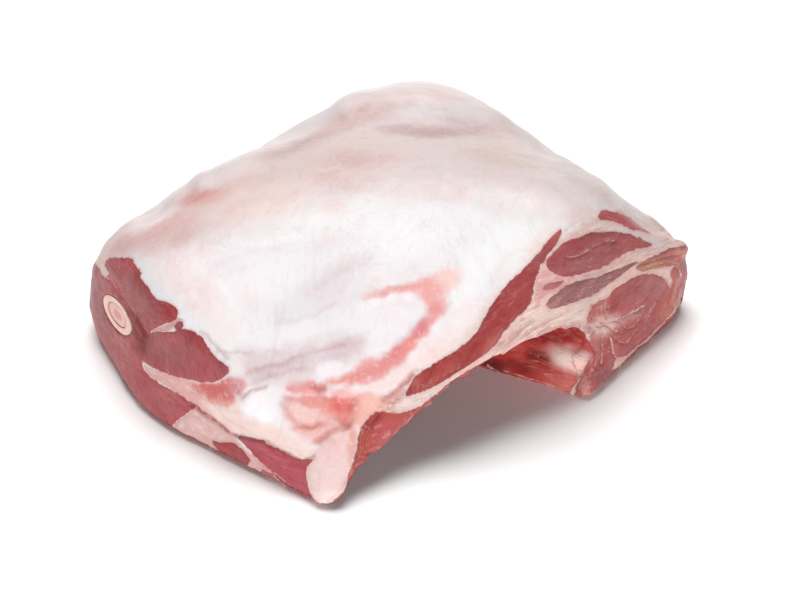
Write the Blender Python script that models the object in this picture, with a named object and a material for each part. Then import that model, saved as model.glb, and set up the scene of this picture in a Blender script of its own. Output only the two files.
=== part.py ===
"""A raw square-cut shoulder of lamb, lying fat side up, with the sawn arm bone showing at one cut.

The meat is one solid: a slab with a domed fat side, two upright cut faces (the arm cut at -X and the
blade-end cut at -Y), two rounded sides covered in fat, and a hollow underneath, where the ribs were,
that opens through the blade-end cut as an arch. The arm bone is a tube with its marrow inside it,
let into the arm cut. All places are measured in metres from the flap corner, where the two cut faces
meet at the base; at the end everything is moved so that the origin is the centre of the base.
"""

import math

import bmesh
import bpy
import numpy as np
from mathutils import Vector
from mathutils.bvhtree import BVHTree

# The outline seen from above, anticlockwise from the flap corner. Each corner of the plan has its
# place x, y, the radius that rounds it, how far in and how far down the top edge is rounded there,
# and how far in and how far up the bottom edge is tucked under.
PLAN = {
    "flap": dict(x=-0.001, y=-0.002, turn=0.008, top=(0.007, 0.005), foot=(0.002, 0.002)),
    "toe": dict(x=0.147, y=-0.025, turn=0.050, top=(0.008, 0.006), foot=(0.004, 0.005)),
    "chine": dict(x=0.243, y=-0.006, turn=0.022, top=(0.030, 0.026), foot=(0.012, 0.020)),
    "rump": dict(x=0.239, y=0.100, turn=0.150, top=(0.050, 0.030), foot=(0.018, 0.020)),
    "neck": dict(x=0.226, y=0.188, turn=0.060, top=(0.050, 0.034), foot=(0.018, 0.026)),
    "back": dict(x=0.100, y=0.193, turn=0.150, top=(0.050, 0.032), foot=(0.016, 0.026)),
    "elbow": dict(x=-0.006, y=0.195, turn=0.034, top=(0.026, 0.017), foot=(0.008, 0.016)),
    "arm": dict(x=-0.029, y=0.110, turn=0.120, top=(0.008, 0.006), foot=(0.003, 0.004)),
}
PLAN_CENTRE = (0.115, 0.088)
OUTLINE_STEPS = 12  # steps in each rounded corner and along each side of the plan

# How high the fat side stands over named spots of the plan: x, y, height.
FAT_SIDE = {
    "flap tip": (0.000, 0.000, 0.011),
    "flap edge": (0.026, 0.001, 0.026),
    "flap rise": (0.048, 0.002, 0.038),
    "arch edge": (0.072, 0.002, 0.050),
    "arch crown": (0.093, 0.001, 0.058),
    "blade start": (0.109, 0.001, 0.068),
    "blade edge": (0.123, 0.003, 0.082),
    "blade crown": (0.144, 0.003, 0.094),
    "eye top": (0.178, 0.007, 0.091),
    "eye edge": (0.207, 0.007, 0.071),
    "eye side": (0.224, 0.045, 0.057),
    "chine tip": (0.238, 0.000, 0.052),
    "arm tip": (-0.008, 0.030, 0.024),
    "arm rise": (-0.012, 0.060, 0.050),
    "arm muscle": (-0.012, 0.095, 0.066),
    "arm crown": (-0.010, 0.128, 0.072),
    "arm back": (-0.004, 0.152, 0.067),
    "elbow": (0.004, 0.184, 0.052),
    "shank side": (0.060, 0.186, 0.065),
    "neck side": (0.150, 0.180, 0.073),
    "neck corner": (0.215, 0.175, 0.067),
    "chine side": (0.234, 0.090, 0.056),
    "middle": (0.120, 0.095, 0.086),
    "flap slope": (0.040, 0.045, 0.057),
    "eye slope": (0.080, 0.050, 0.071),
    "blade ridge": (0.165, 0.055, 0.094),
    "arm slope": (0.045, 0.110, 0.079),
}

# Both cut faces lean back: how far, at what height, and how far inside the cut the lean fades out.
CUT_INSET = 0.020
BLADE_LEAN = dict(back=0.022, height=0.088, fade=0.090)
ARM_LEAN = dict(back=0.013, height=0.060, fade=0.060)

# The neck end stands up as a rounded hump behind a shallow crease that crosses the fat side.
CREASE_START = (0.100, 0.190)
CREASE_END = (0.234, 0.082)
HUMP_RISE = 0.007
HUMP_RUN = 0.016

# The hollow under the slab. It is widest at the blade-end cut and closes towards the neck.
HOLLOW_HEIGHT = 0.0435
HOLLOW_FRONT = -0.017  # where the blade-end cut stands furthest forward
HOLLOW_DEPTH = 0.140
HOLLOW_START = -0.045  # outside the blade-end cut
HOLLOW_LEFT, HOLLOW_RIGHT = 0.000, 0.161  # the two feet at the blade-end cut
HOLLOW_END = 0.080  # where the two feet meet at the far end
RIGHT_CURVE = 0.8  # how straight the right foot runs inwards
HOLLOW_CROWN = 0.78  # the crown's place between the two feet
LEFT_POWER = 2.3
RIGHT_POWER = 7.0
LIP = 0.014
LIP_RISE = 0.45  # the part of the hollow's height that the lip takes up
HOLLOW_BELOW = 0.010
HOLLOW_SECTIONS = 14
HOLLOW_POINTS = 30

# The arm bone: an oval tube cut slantwise, with marrow in it. Radii are along y and z.
BONE_Y, BONE_Z = 0.1475, 0.0325
BONE_RADII = (0.0165, 0.0072)
MARROW_RADII = (0.0108, 0.0046)
BONE_TILT = math.radians(-8)
BONE_LENGTH = 0.110
BONE_RISE = 0.10  # the bone climbs this much for each unit of length
BONE_SEGMENTS = 48
FIT_GAP = 0.0003
OUTSIDE = -0.060  # an x clear of the arm cut

WALL_LEAST = 0.006  # the rounded sides are nowhere lower than this between top and bottom edge

# Steps of the closed grid that carries the meat's surface, along x, y and z.
GRID_STEPS = (44, 34, 10)

MEAT_RED = (0.40, 0.095, 0.100, 1.0)
BONE_CREAM = (0.76, 0.58, 0.48, 1.0)
MARROW_PINK = (0.66, 0.32, 0.29, 1.0)


def clear_scene():
    for old in list(bpy.data.objects):
        bpy.data.objects.remove(old)


def material(name, colour, roughness):
    made = bpy.data.materials.new(name)
    made.use_nodes = True
    shader = made.node_tree.nodes["Principled BSDF"]
    shader.inputs["Base Color"].default_value = colour
    shader.inputs["Roughness"].default_value = roughness
    return made


def add_object(name, builder, look):
    """A new object from a bmesh, with its faces turned outwards."""
    bmesh.ops.recalc_face_normals(builder, faces=builder.faces)
    builder.normal_update()
    if builder.calc_volume(signed=True) < 0:
        bmesh.ops.reverse_faces(builder, faces=builder.faces)
    mesh = bpy.data.meshes.new(name)
    builder.to_mesh(mesh)
    builder.free()
    mesh.materials.append(look)
    mesh.shade_smooth()
    mesh.set_sharp_from_angle(angle=math.radians(40))
    made = bpy.data.objects.new(name, mesh)
    bpy.context.scene.collection.objects.link(made)
    return made


def loft(builder, loops):
    """Joins loops of points into a closed body, with a face over the first and the last."""
    rings = [[builder.verts.new(point) for point in loop] for loop in loops]
    for near, far in zip(rings, rings[1:]):
        for i in range(len(near)):
            j = (i + 1) % len(near)
            builder.faces.new((near[i], near[j], far[j], far[i]))
    builder.faces.new(rings[0])
    builder.faces.new(rings[-1])


# The plan


def rounded_outline(corners):
    """The plan as a dense loop of points: an arc at each corner, and even steps along each side."""
    shares = [step / OUTLINE_STEPS for step in range(OUTLINE_STEPS + 1)]
    places = [Vector((corner["x"], corner["y"])) for corner in corners]
    arcs = []
    for i, corner in enumerate(corners):
        here, before, after = places[i], places[i - 1], places[(i + 1) % len(places)]
        back, ahead = (before - here).normalized(), (after - here).normalized()
        reach = corner["turn"] / math.tan(back.angle(ahead) / 2)
        reach = min(reach, 0.48 * (before - here).length, 0.48 * (after - here).length)
        start, end = here + back * reach, here + ahead * reach
        arcs.append([(1 - t) ** 2 * start + 2 * t * (1 - t) * here + t * t * end for t in shares])
    points = []
    for arc, following in zip(arcs, arcs[1:] + arcs[:1]):
        points += arc + [arc[-1].lerp(following[0], t) for t in shares[1:-1]]
    return points


def polar(points):
    """The angle and distance of each point from the plan's centre, sorted by angle."""
    x = np.array([p[0] - PLAN_CENTRE[0] for p in points])
    y = np.array([p[1] - PLAN_CENTRE[1] for p in points])
    angle = np.arctan2(y, x)
    order = np.argsort(angle)
    return angle[order], np.hypot(x, y)[order], order


def plan_functions():
    """The plan's radius, and its edge sizes, as functions of the angle round the centre."""
    corners = list(PLAN.values())
    outline_angle, outline_radius, _ = polar(rounded_outline(corners))
    corner_angle, _, order = polar([(corner["x"], corner["y"]) for corner in corners])

    def radius(angle):
        return np.interp(angle, outline_angle, outline_radius, period=2 * math.pi)

    def edge(key, part):
        sizes = np.array([corners[i][key][part] for i in order])
        return lambda angle: np.interp(angle, corner_angle, sizes, period=2 * math.pi)

    return radius, edge("top", 0), edge("top", 1), edge("foot", 0), edge("foot", 1)


# The fat side


def plate_bend(distance):
    """How a thin plate bends at a distance from one point that holds it."""
    safe = np.maximum(distance, 1e-9)
    return safe**2 * np.log(safe)


def fat_side_height():
    """A smooth height over the plan that passes through every named spot, like a bent plate."""
    spots = np.array(list(FAT_SIDE.values()))
    count = len(spots)
    gaps = np.hypot(*(spots[:, None, axis] - spots[None, :, axis] for axis in (0, 1)))
    plane = np.column_stack([np.ones(count), spots[:, :2]])
    system = np.block([[plate_bend(gaps), plane], [plane.T, np.zeros((3, 3))]])
    weights = np.linalg.solve(system, np.append(spots[:, 2], np.zeros(3)))

    def height(x, y):
        total = weights[count] + weights[count + 1] * x + weights[count + 2] * y
        for weight, (spot_x, spot_y, _) in zip(weights, spots):
            total = total + weight * plate_bend(np.hypot(x - spot_x, y - spot_y))
        return total

    return height


def hump(x, y):
    """How far the neck end stands above the rest of the fat side."""
    start, end = np.array(CREASE_START), np.array(CREASE_END)
    along = (end - start) / np.linalg.norm(end - start)
    beyond = (y - start[1]) * along[0] - (x - start[0]) * along[1]
    return HUMP_RISE * np.sin(math.pi / 2 * np.clip(beyond / HUMP_RUN, 0, 1))


def rounding(inset, width, drop):
    """How far a rounded edge has dropped at a distance inset from the rim."""
    t = np.clip(1 - inset / width, 0, 1)
    return drop * (1 - np.sqrt(1 - t * t))


def lean(z, inset, back, height, fade):
    """How far a cut face stands back at a height, fading out inside the slab."""
    return back * z / height * np.clip(1 - inset / fade, 0, 1) ** 1.5


# The meat


def closed_grid():
    """A cube from -1 to 1, its faces cut into an even grid."""
    builder = bmesh.new()
    bmesh.ops.create_cube(builder, size=2)
    for axis, steps in enumerate(GRID_STEPS):
        across = Vector([1.0 if i == axis else 0.0 for i in range(3)])
        for cut in range(1, steps):
            everything = list(builder.verts) + list(builder.edges) + list(builder.faces)
            place = across * (2 * cut / steps - 1)
            bmesh.ops.bisect_plane(builder, geom=everything, plane_co=place, plane_no=across)
    return builder


def shape_meat(grid):
    """Moves the points of the closed grid on to the shoulder's surface."""
    radius, top_in, top_down, foot_in, foot_up = plan_functions()
    height = fat_side_height()
    cube = np.array([vert.co for vert in grid.verts])
    a, b = (cube[:, axis] * (1.25 - 0.25 * cube[:, axis] ** 2) for axis in (0, 1))
    up = (cube[:, 2] + 1) / 2

    angle = np.arctan2(b * PLAN_CENTRE[1], a * PLAN_CENTRE[0])
    share = np.maximum(abs(a), abs(b))
    full = radius(angle)
    inset = (1 - share) * full
    x = PLAN_CENTRE[0] + share * full * np.cos(angle)
    y = PLAN_CENTRE[1] + share * full * np.sin(angle)

    top = height(x, y) + hump(x, y) - rounding(inset, top_in(angle), top_down(angle))
    foot = rounding(inset, foot_in(angle), foot_up(angle))
    z = foot + up * np.maximum(top - foot, WALL_LEAST)
    x, y = (
        x + lean(z, x + CUT_INSET, **ARM_LEAN),
        y + lean(z, y + CUT_INSET, **BLADE_LEAN),
    )
    for vert, place in zip(grid.verts, np.column_stack([x, y, z])):
        vert.co = place


def hollow_section(y):
    """One arch of the hollow, from its left foot over the crown to its right foot.

    The right wall is steep, and near the ground its foot stands into the hollow as a lip.
    """
    depth = max(0.0, (y - HOLLOW_FRONT) / HOLLOW_DEPTH)
    fade = math.sqrt(max(0.0, 1 - depth**2.4))
    left = HOLLOW_END + (HOLLOW_LEFT - HOLLOW_END) * math.sqrt(1 - depth * depth)
    right = HOLLOW_END + (HOLLOW_RIGHT - HOLLOW_END) * (1 - depth) ** RIGHT_CURVE
    crown = left + (right - left) * HOLLOW_CROWN
    loop = [(left, y, -HOLLOW_BELOW)]
    for step in range(HOLLOW_POINTS):
        across = -math.cos(math.pi * step / (HOLLOW_POINTS - 1))
        reach, power = (crown - left, LEFT_POWER) if across < 0 else (right - crown, RIGHT_POWER)
        rise = 1 - abs(across) ** power
        lip = LIP * fade * max(0.0, 1 - rise / LIP_RISE) if across > 0 else 0.0
        loop.append((crown + across * reach - lip, y, HOLLOW_HEIGHT * fade * rise))
    loop.append((right - LIP * fade, y, -HOLLOW_BELOW))
    return loop


def build_hollow():
    """The cutter for the hollow: its arches joined in a row, closer together at the far end."""
    builder = bmesh.new()
    far = HOLLOW_FRONT + HOLLOW_DEPTH * 0.99
    turns = [math.pi / 2 * i / (HOLLOW_SECTIONS - 1) for i in range(HOLLOW_SECTIONS)]
    loft(builder, [hollow_section(HOLLOW_START + (far - HOLLOW_START) * math.sin(t)) for t in turns])
    return add_cutter("hollow_cutter", builder)


def add_cutter(name, builder):
    cutter = add_object(name, builder, material(name, MEAT_RED, 1.0))
    cutter.hide_render = True
    cutter.display_type = "WIRE"
    return cutter


def cut_out(piece, cutter):
    modifier = piece.modifiers.new(cutter.name, "BOOLEAN")
    modifier.operation = "DIFFERENCE"
    modifier.object = cutter


# The arm bone


def oval(radii, grow=0.0):
    """The bone's cross-section as y, z pairs, its long axis tilted, grown or shrunk all round."""
    points = []
    for i in range(BONE_SEGMENTS):
        turn = 2 * math.pi * i / BONE_SEGMENTS
        across, up = (radii[0] + grow) * math.cos(turn), (radii[1] + grow) * math.sin(turn)
        y = across * math.cos(BONE_TILT) - up * math.sin(BONE_TILT)
        z = across * math.sin(BONE_TILT) + up * math.cos(BONE_TILT)
        points.append((BONE_Y + y, BONE_Z + z))
    return points


def slice_at(section, x):
    """The cross-section moved along the bone to x: the bone climbs as it goes in."""
    rise = BONE_RISE * max(0.0, x)
    return [(x, y, z + rise) for y, z in section]


def slice_on_cut(section, surface, inside=0.0):
    """The cross-section laid on the arm cut, or a little way inside it."""
    points = []
    for y, z in section:
        hit = surface.ray_cast(Vector((OUTSIDE, y, z)), Vector((1, 0, 0)))[0]
        points.append((hit.x + inside, y, z))
    return points


def build_bone(surface):
    """The bone as a tube that is closed at its inner end, with its sawn end on the arm cut."""
    outer, inner = oval(BONE_RADII), oval(MARROW_RADII)
    bottom = BONE_LENGTH - (BONE_RADII[0] - MARROW_RADII[0])
    builder = bmesh.new()
    loops = [
        slice_at(outer, BONE_LENGTH),
        slice_at(outer, 0.0),
        slice_on_cut(outer, surface),
        slice_on_cut(inner, surface),
        slice_at(inner, 0.0),
        slice_at(inner, bottom),
    ]
    loft(builder, loops)
    return add_object("arm_bone", builder, material("bone", BONE_CREAM, 0.5))


def build_marrow(surface):
    """The marrow, just clear of the bone all round and a little below its sawn end."""
    section = oval(MARROW_RADII, -FIT_GAP)
    bottom = BONE_LENGTH - (BONE_RADII[0] - MARROW_RADII[0]) - FIT_GAP
    builder = bmesh.new()
    mouth = slice_on_cut(section, surface, inside=FIT_GAP)
    loft(builder, [mouth, slice_at(section, 0.0), slice_at(section, bottom)])
    return add_object("bone_marrow", builder, material("marrow", MARROW_PINK, 0.4))


def build_pocket():
    """The cutter for the bone's pocket in the meat."""
    section = oval(BONE_RADII, FIT_GAP)
    builder = bmesh.new()
    places = (OUTSIDE, 0.0, BONE_LENGTH + FIT_GAP)
    loft(builder, [slice_at(section, x) for x in places])
    return add_cutter("bone_pocket_cutter", builder)


def centre_on_base(pieces):
    """Moves every piece so that the origin is the centre of the meat's base."""
    bpy.context.view_layer.update()
    whole = pieces[0].evaluated_get(bpy.context.evaluated_depsgraph_get())
    corners = [Vector(corner) for corner in whole.bound_box]
    low = Vector([min(corner[axis] for corner in corners) for axis in range(3)])
    high = Vector([max(corner[axis] for corner in corners) for axis in range(3)])
    for piece in pieces:
        piece.location = -Vector(((low.x + high.x) / 2, (low.y + high.y) / 2, low.z))


def main():
    clear_scene()
    grid = closed_grid()
    shape_meat(grid)
    surface = BVHTree.FromBMesh(grid)
    meat = add_object("meat", grid, material("raw_meat", MEAT_RED, 0.45))
    hollow, pocket = build_hollow(), build_pocket()
    cut_out(meat, hollow)
    cut_out(meat, pocket)
    centre_on_base([meat, build_bone(surface), build_marrow(surface), hollow, pocket])


main()
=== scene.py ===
"""Looks for the raw lamb shoulder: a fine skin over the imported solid, its muscles, fat and seams.

The marks on the meat are drawn in pixels of the 800 x 611 photograph. Every point of the skin knows
at which pixel the camera of the photograph sees it, so each mark sits on the meat itself and stays
there from any side. Sizes are in metres unless a name says otherwise.
"""

import math

import bmesh
import bpy
import numpy as np
from mathutils import Matrix, Vector, noise
from mathutils.bvhtree import BVHTree
from mathutils.geometry import convex_hull_2d


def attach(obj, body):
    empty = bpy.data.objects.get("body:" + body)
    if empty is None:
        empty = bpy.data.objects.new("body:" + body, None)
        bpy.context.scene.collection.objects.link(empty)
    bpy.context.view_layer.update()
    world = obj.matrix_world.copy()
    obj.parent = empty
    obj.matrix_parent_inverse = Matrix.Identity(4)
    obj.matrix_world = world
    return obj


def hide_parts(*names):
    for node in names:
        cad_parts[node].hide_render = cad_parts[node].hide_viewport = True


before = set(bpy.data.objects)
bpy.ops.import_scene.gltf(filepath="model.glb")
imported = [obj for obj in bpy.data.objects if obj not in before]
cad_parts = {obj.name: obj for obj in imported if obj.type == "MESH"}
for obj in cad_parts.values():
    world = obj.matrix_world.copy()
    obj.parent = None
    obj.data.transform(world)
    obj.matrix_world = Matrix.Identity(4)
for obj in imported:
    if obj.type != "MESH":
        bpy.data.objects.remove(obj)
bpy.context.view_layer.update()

MM = 0.001
IMAGE_WIDTH, IMAGE_HEIGHT = 800, 611
PIXEL_MM = 0.45  # about the size of a pixel of the photograph on the meat

# The camera, as the photograph was taken: a long lens that looks down over the flap corner.
LENS_MM, SENSOR_MM = 135.0, 36.0
EYE = Vector((-0.7611, -0.9180, 0.9461))
AIM = Vector((-0.0013, -0.0125, 0.0226))

# The fine skin.
VOXEL = 2.4 * MM
SMOOTH_ROUNDS, LAST_ROUNDS, RELIEF_ROUNDS = 8, 2, 3
RELAX_STEPS = (0.5, -0.53)  # towards the neighbours' mean, and back
LIP = ((345, 505), (372, 462), (400, 428), (430, 403), (460, 380), (490, 362), (530, 345))
LIP_REACH = 14.0  # the hollow's thin lip is evened out this close to its line, in pixels
LIP_ROUNDS = 45
EDGE_REACH = 3.7  # the finest faces lie this close to an edge of the lean, in pixels
SIGHT_START = 2.0 * MM  # how far out of the skin a ray to the camera starts
COVER_START = 1.0 * MM  # how far out of the skin a ray upwards starts

# How much the skin faces the camera, or up: 1 is straight on, 0 is edge-on.
SHOWN = -0.35  # what faces the camera less belongs to the hidden walls
EDGE_ON = 0.15  # what faces the camera less gets the finest faces everywhere
TOPSIDE = 0.6  # what faces up more lies under nothing
UNDERSIDE = -0.45  # what faces up less is the underside
WALL = 0.35  # what faces out more belongs to that hidden wall
RELIEF_FADE = (-0.3, 0.15)  # the swells come in between these

# The faces seen in the middle zone are split once, and those in the fine zones, near the edges of
# the lean, once more.
MIDDLE_ZONE = (
    (70, 235), (140, 225), (200, 300), (260, 325), (340, 285), (440, 250), (540, 215), (640, 190),
    (710, 240), (700, 310), (590, 420), (480, 400), (350, 530), (300, 520), (100, 430), (60, 330),
)
FINE_ZONES = (
    (
        (70, 245), (104, 250), (140, 250), (160, 290), (185, 312), (215, 345), (240, 360), (248, 385),
        (240, 405), (262, 430), (318, 452), (330, 520), (200, 470), (110, 410), (70, 330)),
    (
        (395, 385), (430, 352), (470, 330), (490, 295), (530, 255), (552, 222), (590, 205), (640, 208),
        (700, 240), (700, 300), (600, 410), (570, 405), (480, 385), (350, 520), (322, 515), (345, 470),
        (360, 425)),
)

# The arm cut, which holds the bone: a line along the base, and how far back it leans per height.
ARM_LINE = ((-0.1105, -0.089), (-0.1385, 0.018), (-0.1150, 0.109))
ARM_LEAN = 0.22
BONE_SINK = 2.4 * MM  # the skin dips this far over the bone, so that the bone itself shows
BONE_RIM = (-0.5 * MM, 0.7 * MM)  # the dip starts and ends this far inside the bone's outline
SAWN_DEPTH = 2.5 * MM  # the bone's points that lie this close behind the cut are its sawn end
CUT_DEPTH = 5 * MM  # the skin's points that lie this close behind the cut can dip
BONE_CENTRE = (0.0616, 0.0325)  # y, z
BONE_HALF = (0.0165, 0.0072)
BONE_TILT = math.radians(-8)

# How outlines sway on the meat: the noise's size, octaves and seeds, and its reach, in pixels on
# what the camera sees and in millimetres on the hidden walls.
WAVE = dict(size=7 * MM, octaves=3, seeds=(1.0, 2.0), reach=2.6)
FRAY = dict(size=3.5 * MM, octaves=2, seeds=(8.0, 9.0), reach=0.8)
WALL_WAVE = dict(size=14 * MM, octaves=3, seeds=(3.0, 4.0), reach=3.0)

# The fields of the skin before the marks, and on the parts that the photograph doesn't show.
FAR_FROM_LEAN = -8.0
FAT_WEB, UNDER_WEB, WALL_WEB = 0.08, 0.4, 0.5
MUSCLE_RIM = -1.0  # a muscle's grain starts at this depth inside its outline, in millimetres
LAYER_GAP = 0.013  # between the noise of two muscles
GRAIN_CENTRE_Y = -0.03  # the fat's grain runs round this place
GRAIN_ROUND = 0.025  # how fast the noise changes on the way round
BAND_LAYER, WALL_LAYER = 20, 30  # where the layers of the bands and of the walls start
WALL_STRETCH = 3.0

# The lean and fat underneath: how far apart and how large they are, in metres, and how fast the lean
# gets deeper away from the fat, up to a depth in millimetres.
UNDER_SEAM_GAP, UNDER_SEAM_SLOPE = 0.034, 26
UNDER_ISLAND_SIZE, UNDER_ISLAND_SLOPE = 0.030, 9.0
UNDER_TONE_SIZE = 0.022
UNDER_DEPTH = 5.0

# How the marks meet the skin. A pair is where a mark starts to show, and where it shows fully.
SEAM_DENT = 0.25 * MM
SEAM_WANDER, SEAM_WANDER_SIZE = 0.9, 4 * MM  # how much of its width a seam gets wider and narrower
SEAM_EDGE, OVERLAY_EDGE = (1.2, 0.4), (-0.8, 0.3)  # in millimetres
STREAK_BREAKS = 4.5  # how far the salmon streaks are broken up, in pixels
STREAK_BREAK_SIZE = 5 * MM
SHAPE_RISE = (-4, 9)  # a fat shape rises from this far inside its outline to this far, in pixels
BLUSH_HEIGHTS, BLUSH = (62 * MM, 30 * MM), 0.8  # the hidden walls' fat is pinker lower down
ROUND_EDGE_HEIGHTS = (18 * MM, 8 * MM)  # the underside's lean comes round the edge between these
ROUND_EDGE_TURNS = (-0.05, -0.33)  # and where the skin turns down between these
ROUND_EDGE_SWAY = 0.016  # the size of the bends in that border
UNDER_GRAIN_SHARE = 0.3  # the underside's grain starts at this share of it
BROAD_RELIEF, BROAD_SIZE = 0.5 * MM, 0.024
FINE_RELIEF, FINE_SIZE = 0.16 * MM, 0.006
LEAN_RISE = 0.2 * MM
LEAN_RISE_EDGE = (-0.5, 2.0)  # in millimetres
FLAT_HEIGHTS = (0.5 * MM, 4 * MM)  # the relief comes in between these, so that the base stays flat
MOUTH = (0.062, 0.084)  # the arch's sag comes in between these distances to the front


def linear(colour):
    """An eye colour from 0 to 255 as the linear numbers that shaders use."""
    return tuple(
        c / 255 / 12.92 if c / 255 <= 0.04045 else ((c / 255 + 0.055) / 1.055) ** 2.4 for c in colour
    )


LIGHT_LEVEL = 1.48  # how much brighter than white paper the photograph's light is

WHITE_FAT = (243, 239, 241)
CUT_FAT = (230, 192, 184)
BRIGHT_FAT = (250, 240, 238)
FLECK_FAT = (250, 238, 234)
STRING_FAT = (244, 226, 216)
BLUSHING_FAT = (222, 146, 142)
LEAN_RED = (168, 76, 78)
PALE_LEAN = (222, 158, 154)
MARBLING = (226, 172, 164)
UNDER_RED = (170, 66, 62)
UNDER_DARK = (150, 52, 52)
UNDER_FAT = (228, 182, 172)
FOLD_SHADE = (170, 94, 90)
BONE_CREAM = (223, 196, 181)
BONE_ROSE = (214, 174, 160)
BONE_INNER = (188, 132, 123)
BONE_PORES = (200, 150, 136)
MARROW_CORE = (198, 134, 131)
MARROW_PALE = (220, 174, 166)
MARROW_RIM = (192, 132, 126)
MARROW_FLECKS = (178, 104, 100)

# The muscles of the two cuts, and of the red wall of the hollow that shows through the arch. Each has
# its colour, its grain, how marbled it is, and its outline in pixels. The grain is the direction in
# degrees that the fibres run as seen, and how much longer than wide they look.
ARM_MUSCLES = {
    "shank": ((178, 78, 82), (-50, 2.5), 0.25, (
        (92, 260), (82, 268), (76, 285), (80, 305), (86, 325), (94, 345), (102, 362), (116, 378),
        (130, 392), (138, 402), (146, 414), (158, 424), (170, 430), (176, 421), (183, 416), (191, 411),
        (197, 407), (190, 402), (183, 397), (173, 391), (163, 386), (155, 381), (149, 376), (143, 369),
        (143, 360), (150, 350), (150, 335), (140, 322), (132, 311), (124, 300), (116, 288), (111, 281),
        (106, 278), (101, 273), (97, 265))),
    "upper arm": ((172, 76, 78), (-60, 2.0), 0.25, (
        (107, 259), (113, 257), (120, 258), (131, 257), (134, 262), (137, 267), (142, 272), (140, 276),
        (145, 283), (150, 290), (156, 299), (162, 301), (170, 303), (176, 308), (178, 314), (176, 320),
        (168, 323), (160, 326), (153, 329), (148, 335), (140, 325), (133, 313), (127, 304), (121, 294),
        (116, 285), (112, 280), (109, 275), (106, 268), (104, 263))),
    "lower arm": ((172, 80, 84), (100, 4.0), 0.25, (
        (150, 333), (158, 332), (168, 332), (176, 331), (184, 328), (192, 331), (200, 336), (205, 342),
        (209, 350), (214, 356), (220, 361), (227, 365), (230, 370), (227, 375), (220, 380), (213, 383),
        (205, 382), (195, 381), (185, 379), (172, 376), (160, 371), (150, 366), (142, 360), (140, 350),
        (142, 340))),
    "small arm": ((160, 84, 94), (0, 1.0), 0.25, (
        (174, 327), (177, 322), (182, 321), (184, 325), (181, 330), (176, 330))),
    "flap": ((180, 78, 86), (-25, 3.0), 0.25, (
        (236, 435), (250, 438), (262, 441), (272, 446), (283, 451), (292, 457), (302, 460), (314, 458),
        (308, 465), (306, 473), (307, 482), (310, 491), (314, 499), (320, 507), (312, 508), (300, 498),
        (288, 489), (277, 479), (268, 468), (258, 459), (250, 451), (242, 442))),
    "flap low": ((186, 100, 106), (-30, 4.0), 0.25, (
        (262, 468), (272, 475), (284, 484), (296, 494), (308, 503), (314, 512), (300, 508), (285, 496),
        (272, 486), (260, 476))),
    "flap edge": ((172, 74, 78), (-25, 3.0), 0.25, (
        (211, 440), (222, 443), (230, 442), (238, 445), (247, 455), (251, 461), (246, 467), (236, 463),
        (225, 456), (214, 447))),
}
BLADE_MUSCLES = {
    "rim sliver": ((192, 96, 98), (-20, 3.0), 0.3, (
        (597, 219), (601, 211), (606, 209), (611, 212), (618, 212), (626, 216), (633, 215), (640, 219),
        (645, 223), (650, 228), (656, 233), (648, 232), (640, 230), (632, 230), (625, 227), (617, 222),
        (607, 220))),
    "strap": ((166, 68, 68), (48, 3.0), 0.25, (
        (562, 227), (556, 232), (550, 238), (545, 245), (540, 252), (530, 262), (519, 274), (507, 285),
        (497, 297), (487, 312), (480, 327), (472, 338), (460, 348), (449, 355), (437, 362), (425, 368),
        (416, 374), (410, 382), (404, 391), (413, 389), (421, 386), (430, 383), (447, 377), (458, 371),
        (470, 364), (485, 355), (497, 342), (507, 328), (518, 317), (530, 305), (533, 296), (535, 280),
        (540, 267), (546, 257), (551, 250), (557, 243), (561, 236))),
    "upper lens": ((170, 84, 86), (20, 2.0), 0.8, (
        (546, 262), (549, 257), (556, 250), (561, 244), (570, 240), (580, 237), (588, 233), (600, 232),
        (612, 232), (625, 233), (635, 236), (645, 241), (654, 245), (645, 248), (635, 250), (625, 253),
        (618, 258), (612, 262), (604, 267), (597, 270), (588, 272), (575, 276), (563, 277), (553, 273),
        (547, 268))),
    "small blade": ((182, 104, 106), (15, 3.0), 0.8, (
        (541, 290), (546, 285), (555, 283), (564, 280), (560, 286), (551, 290))),
    "lower lens": ((158, 98, 98), (25, 2.5), 0.8, (
        (545, 304), (550, 297), (558, 292), (565, 286), (575, 282), (590, 279), (600, 277), (610, 272),
        (620, 268), (632, 263), (640, 262), (633, 267), (624, 273), (616, 279), (608, 285), (600, 291),
        (592, 296), (580, 300), (568, 304), (556, 308), (548, 309))),
    "brown rim": ((182, 106, 98), (25, 5.0), 0.8, (
        (634, 269), (642, 263), (650, 258), (658, 254), (668, 249), (680, 246), (690, 246), (698, 262),
        (692, 280), (684, 284), (682, 272), (676, 265), (668, 267), (655, 269), (645, 272))),
    "right side": ((184, 86, 84), (45, 2.5), 0.8, (
        (586, 321), (589, 311), (595, 304), (603, 300), (608, 299), (612, 292), (622, 284), (634, 277),
        (645, 274), (658, 275), (666, 281), (670, 290), (673, 283), (670, 272), (673, 267), (679, 268),
        (681, 278), (690, 286), (694, 300), (688, 316), (676, 330), (662, 346), (645, 362), (630, 374),
        (612, 384), (600, 396), (588, 410), (574, 410), (575, 390), (582, 376), (588, 364), (589, 354),
        (588, 345), (591, 335), (597, 330), (592, 325))),
    "arch edge": ((186, 86, 84), (42, 4.0), 0.8, (
        (482, 364), (470, 369), (460, 375), (447, 382), (433, 390), (420, 397), (403, 404), (392, 406),
        (380, 408), (370, 415), (362, 424), (359, 432), (357, 444), (354, 458), (350, 470), (345, 480),
        (338, 491), (330, 500), (324, 509), (332, 520), (360, 500), (385, 465), (420, 435), (450, 405),
        (480, 385), (500, 365), (492, 360))),
}
HOLLOW_MUSCLES = {
    "wall": ((204, 72, 64), (-20, 6.0), 0.5, (
        (450, 390), (480, 350), (520, 325), (600, 325), (600, 342), (588, 347), (584, 360), (580, 372),
        (581, 386), (578, 400), (590, 420), (450, 420))),
}

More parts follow.
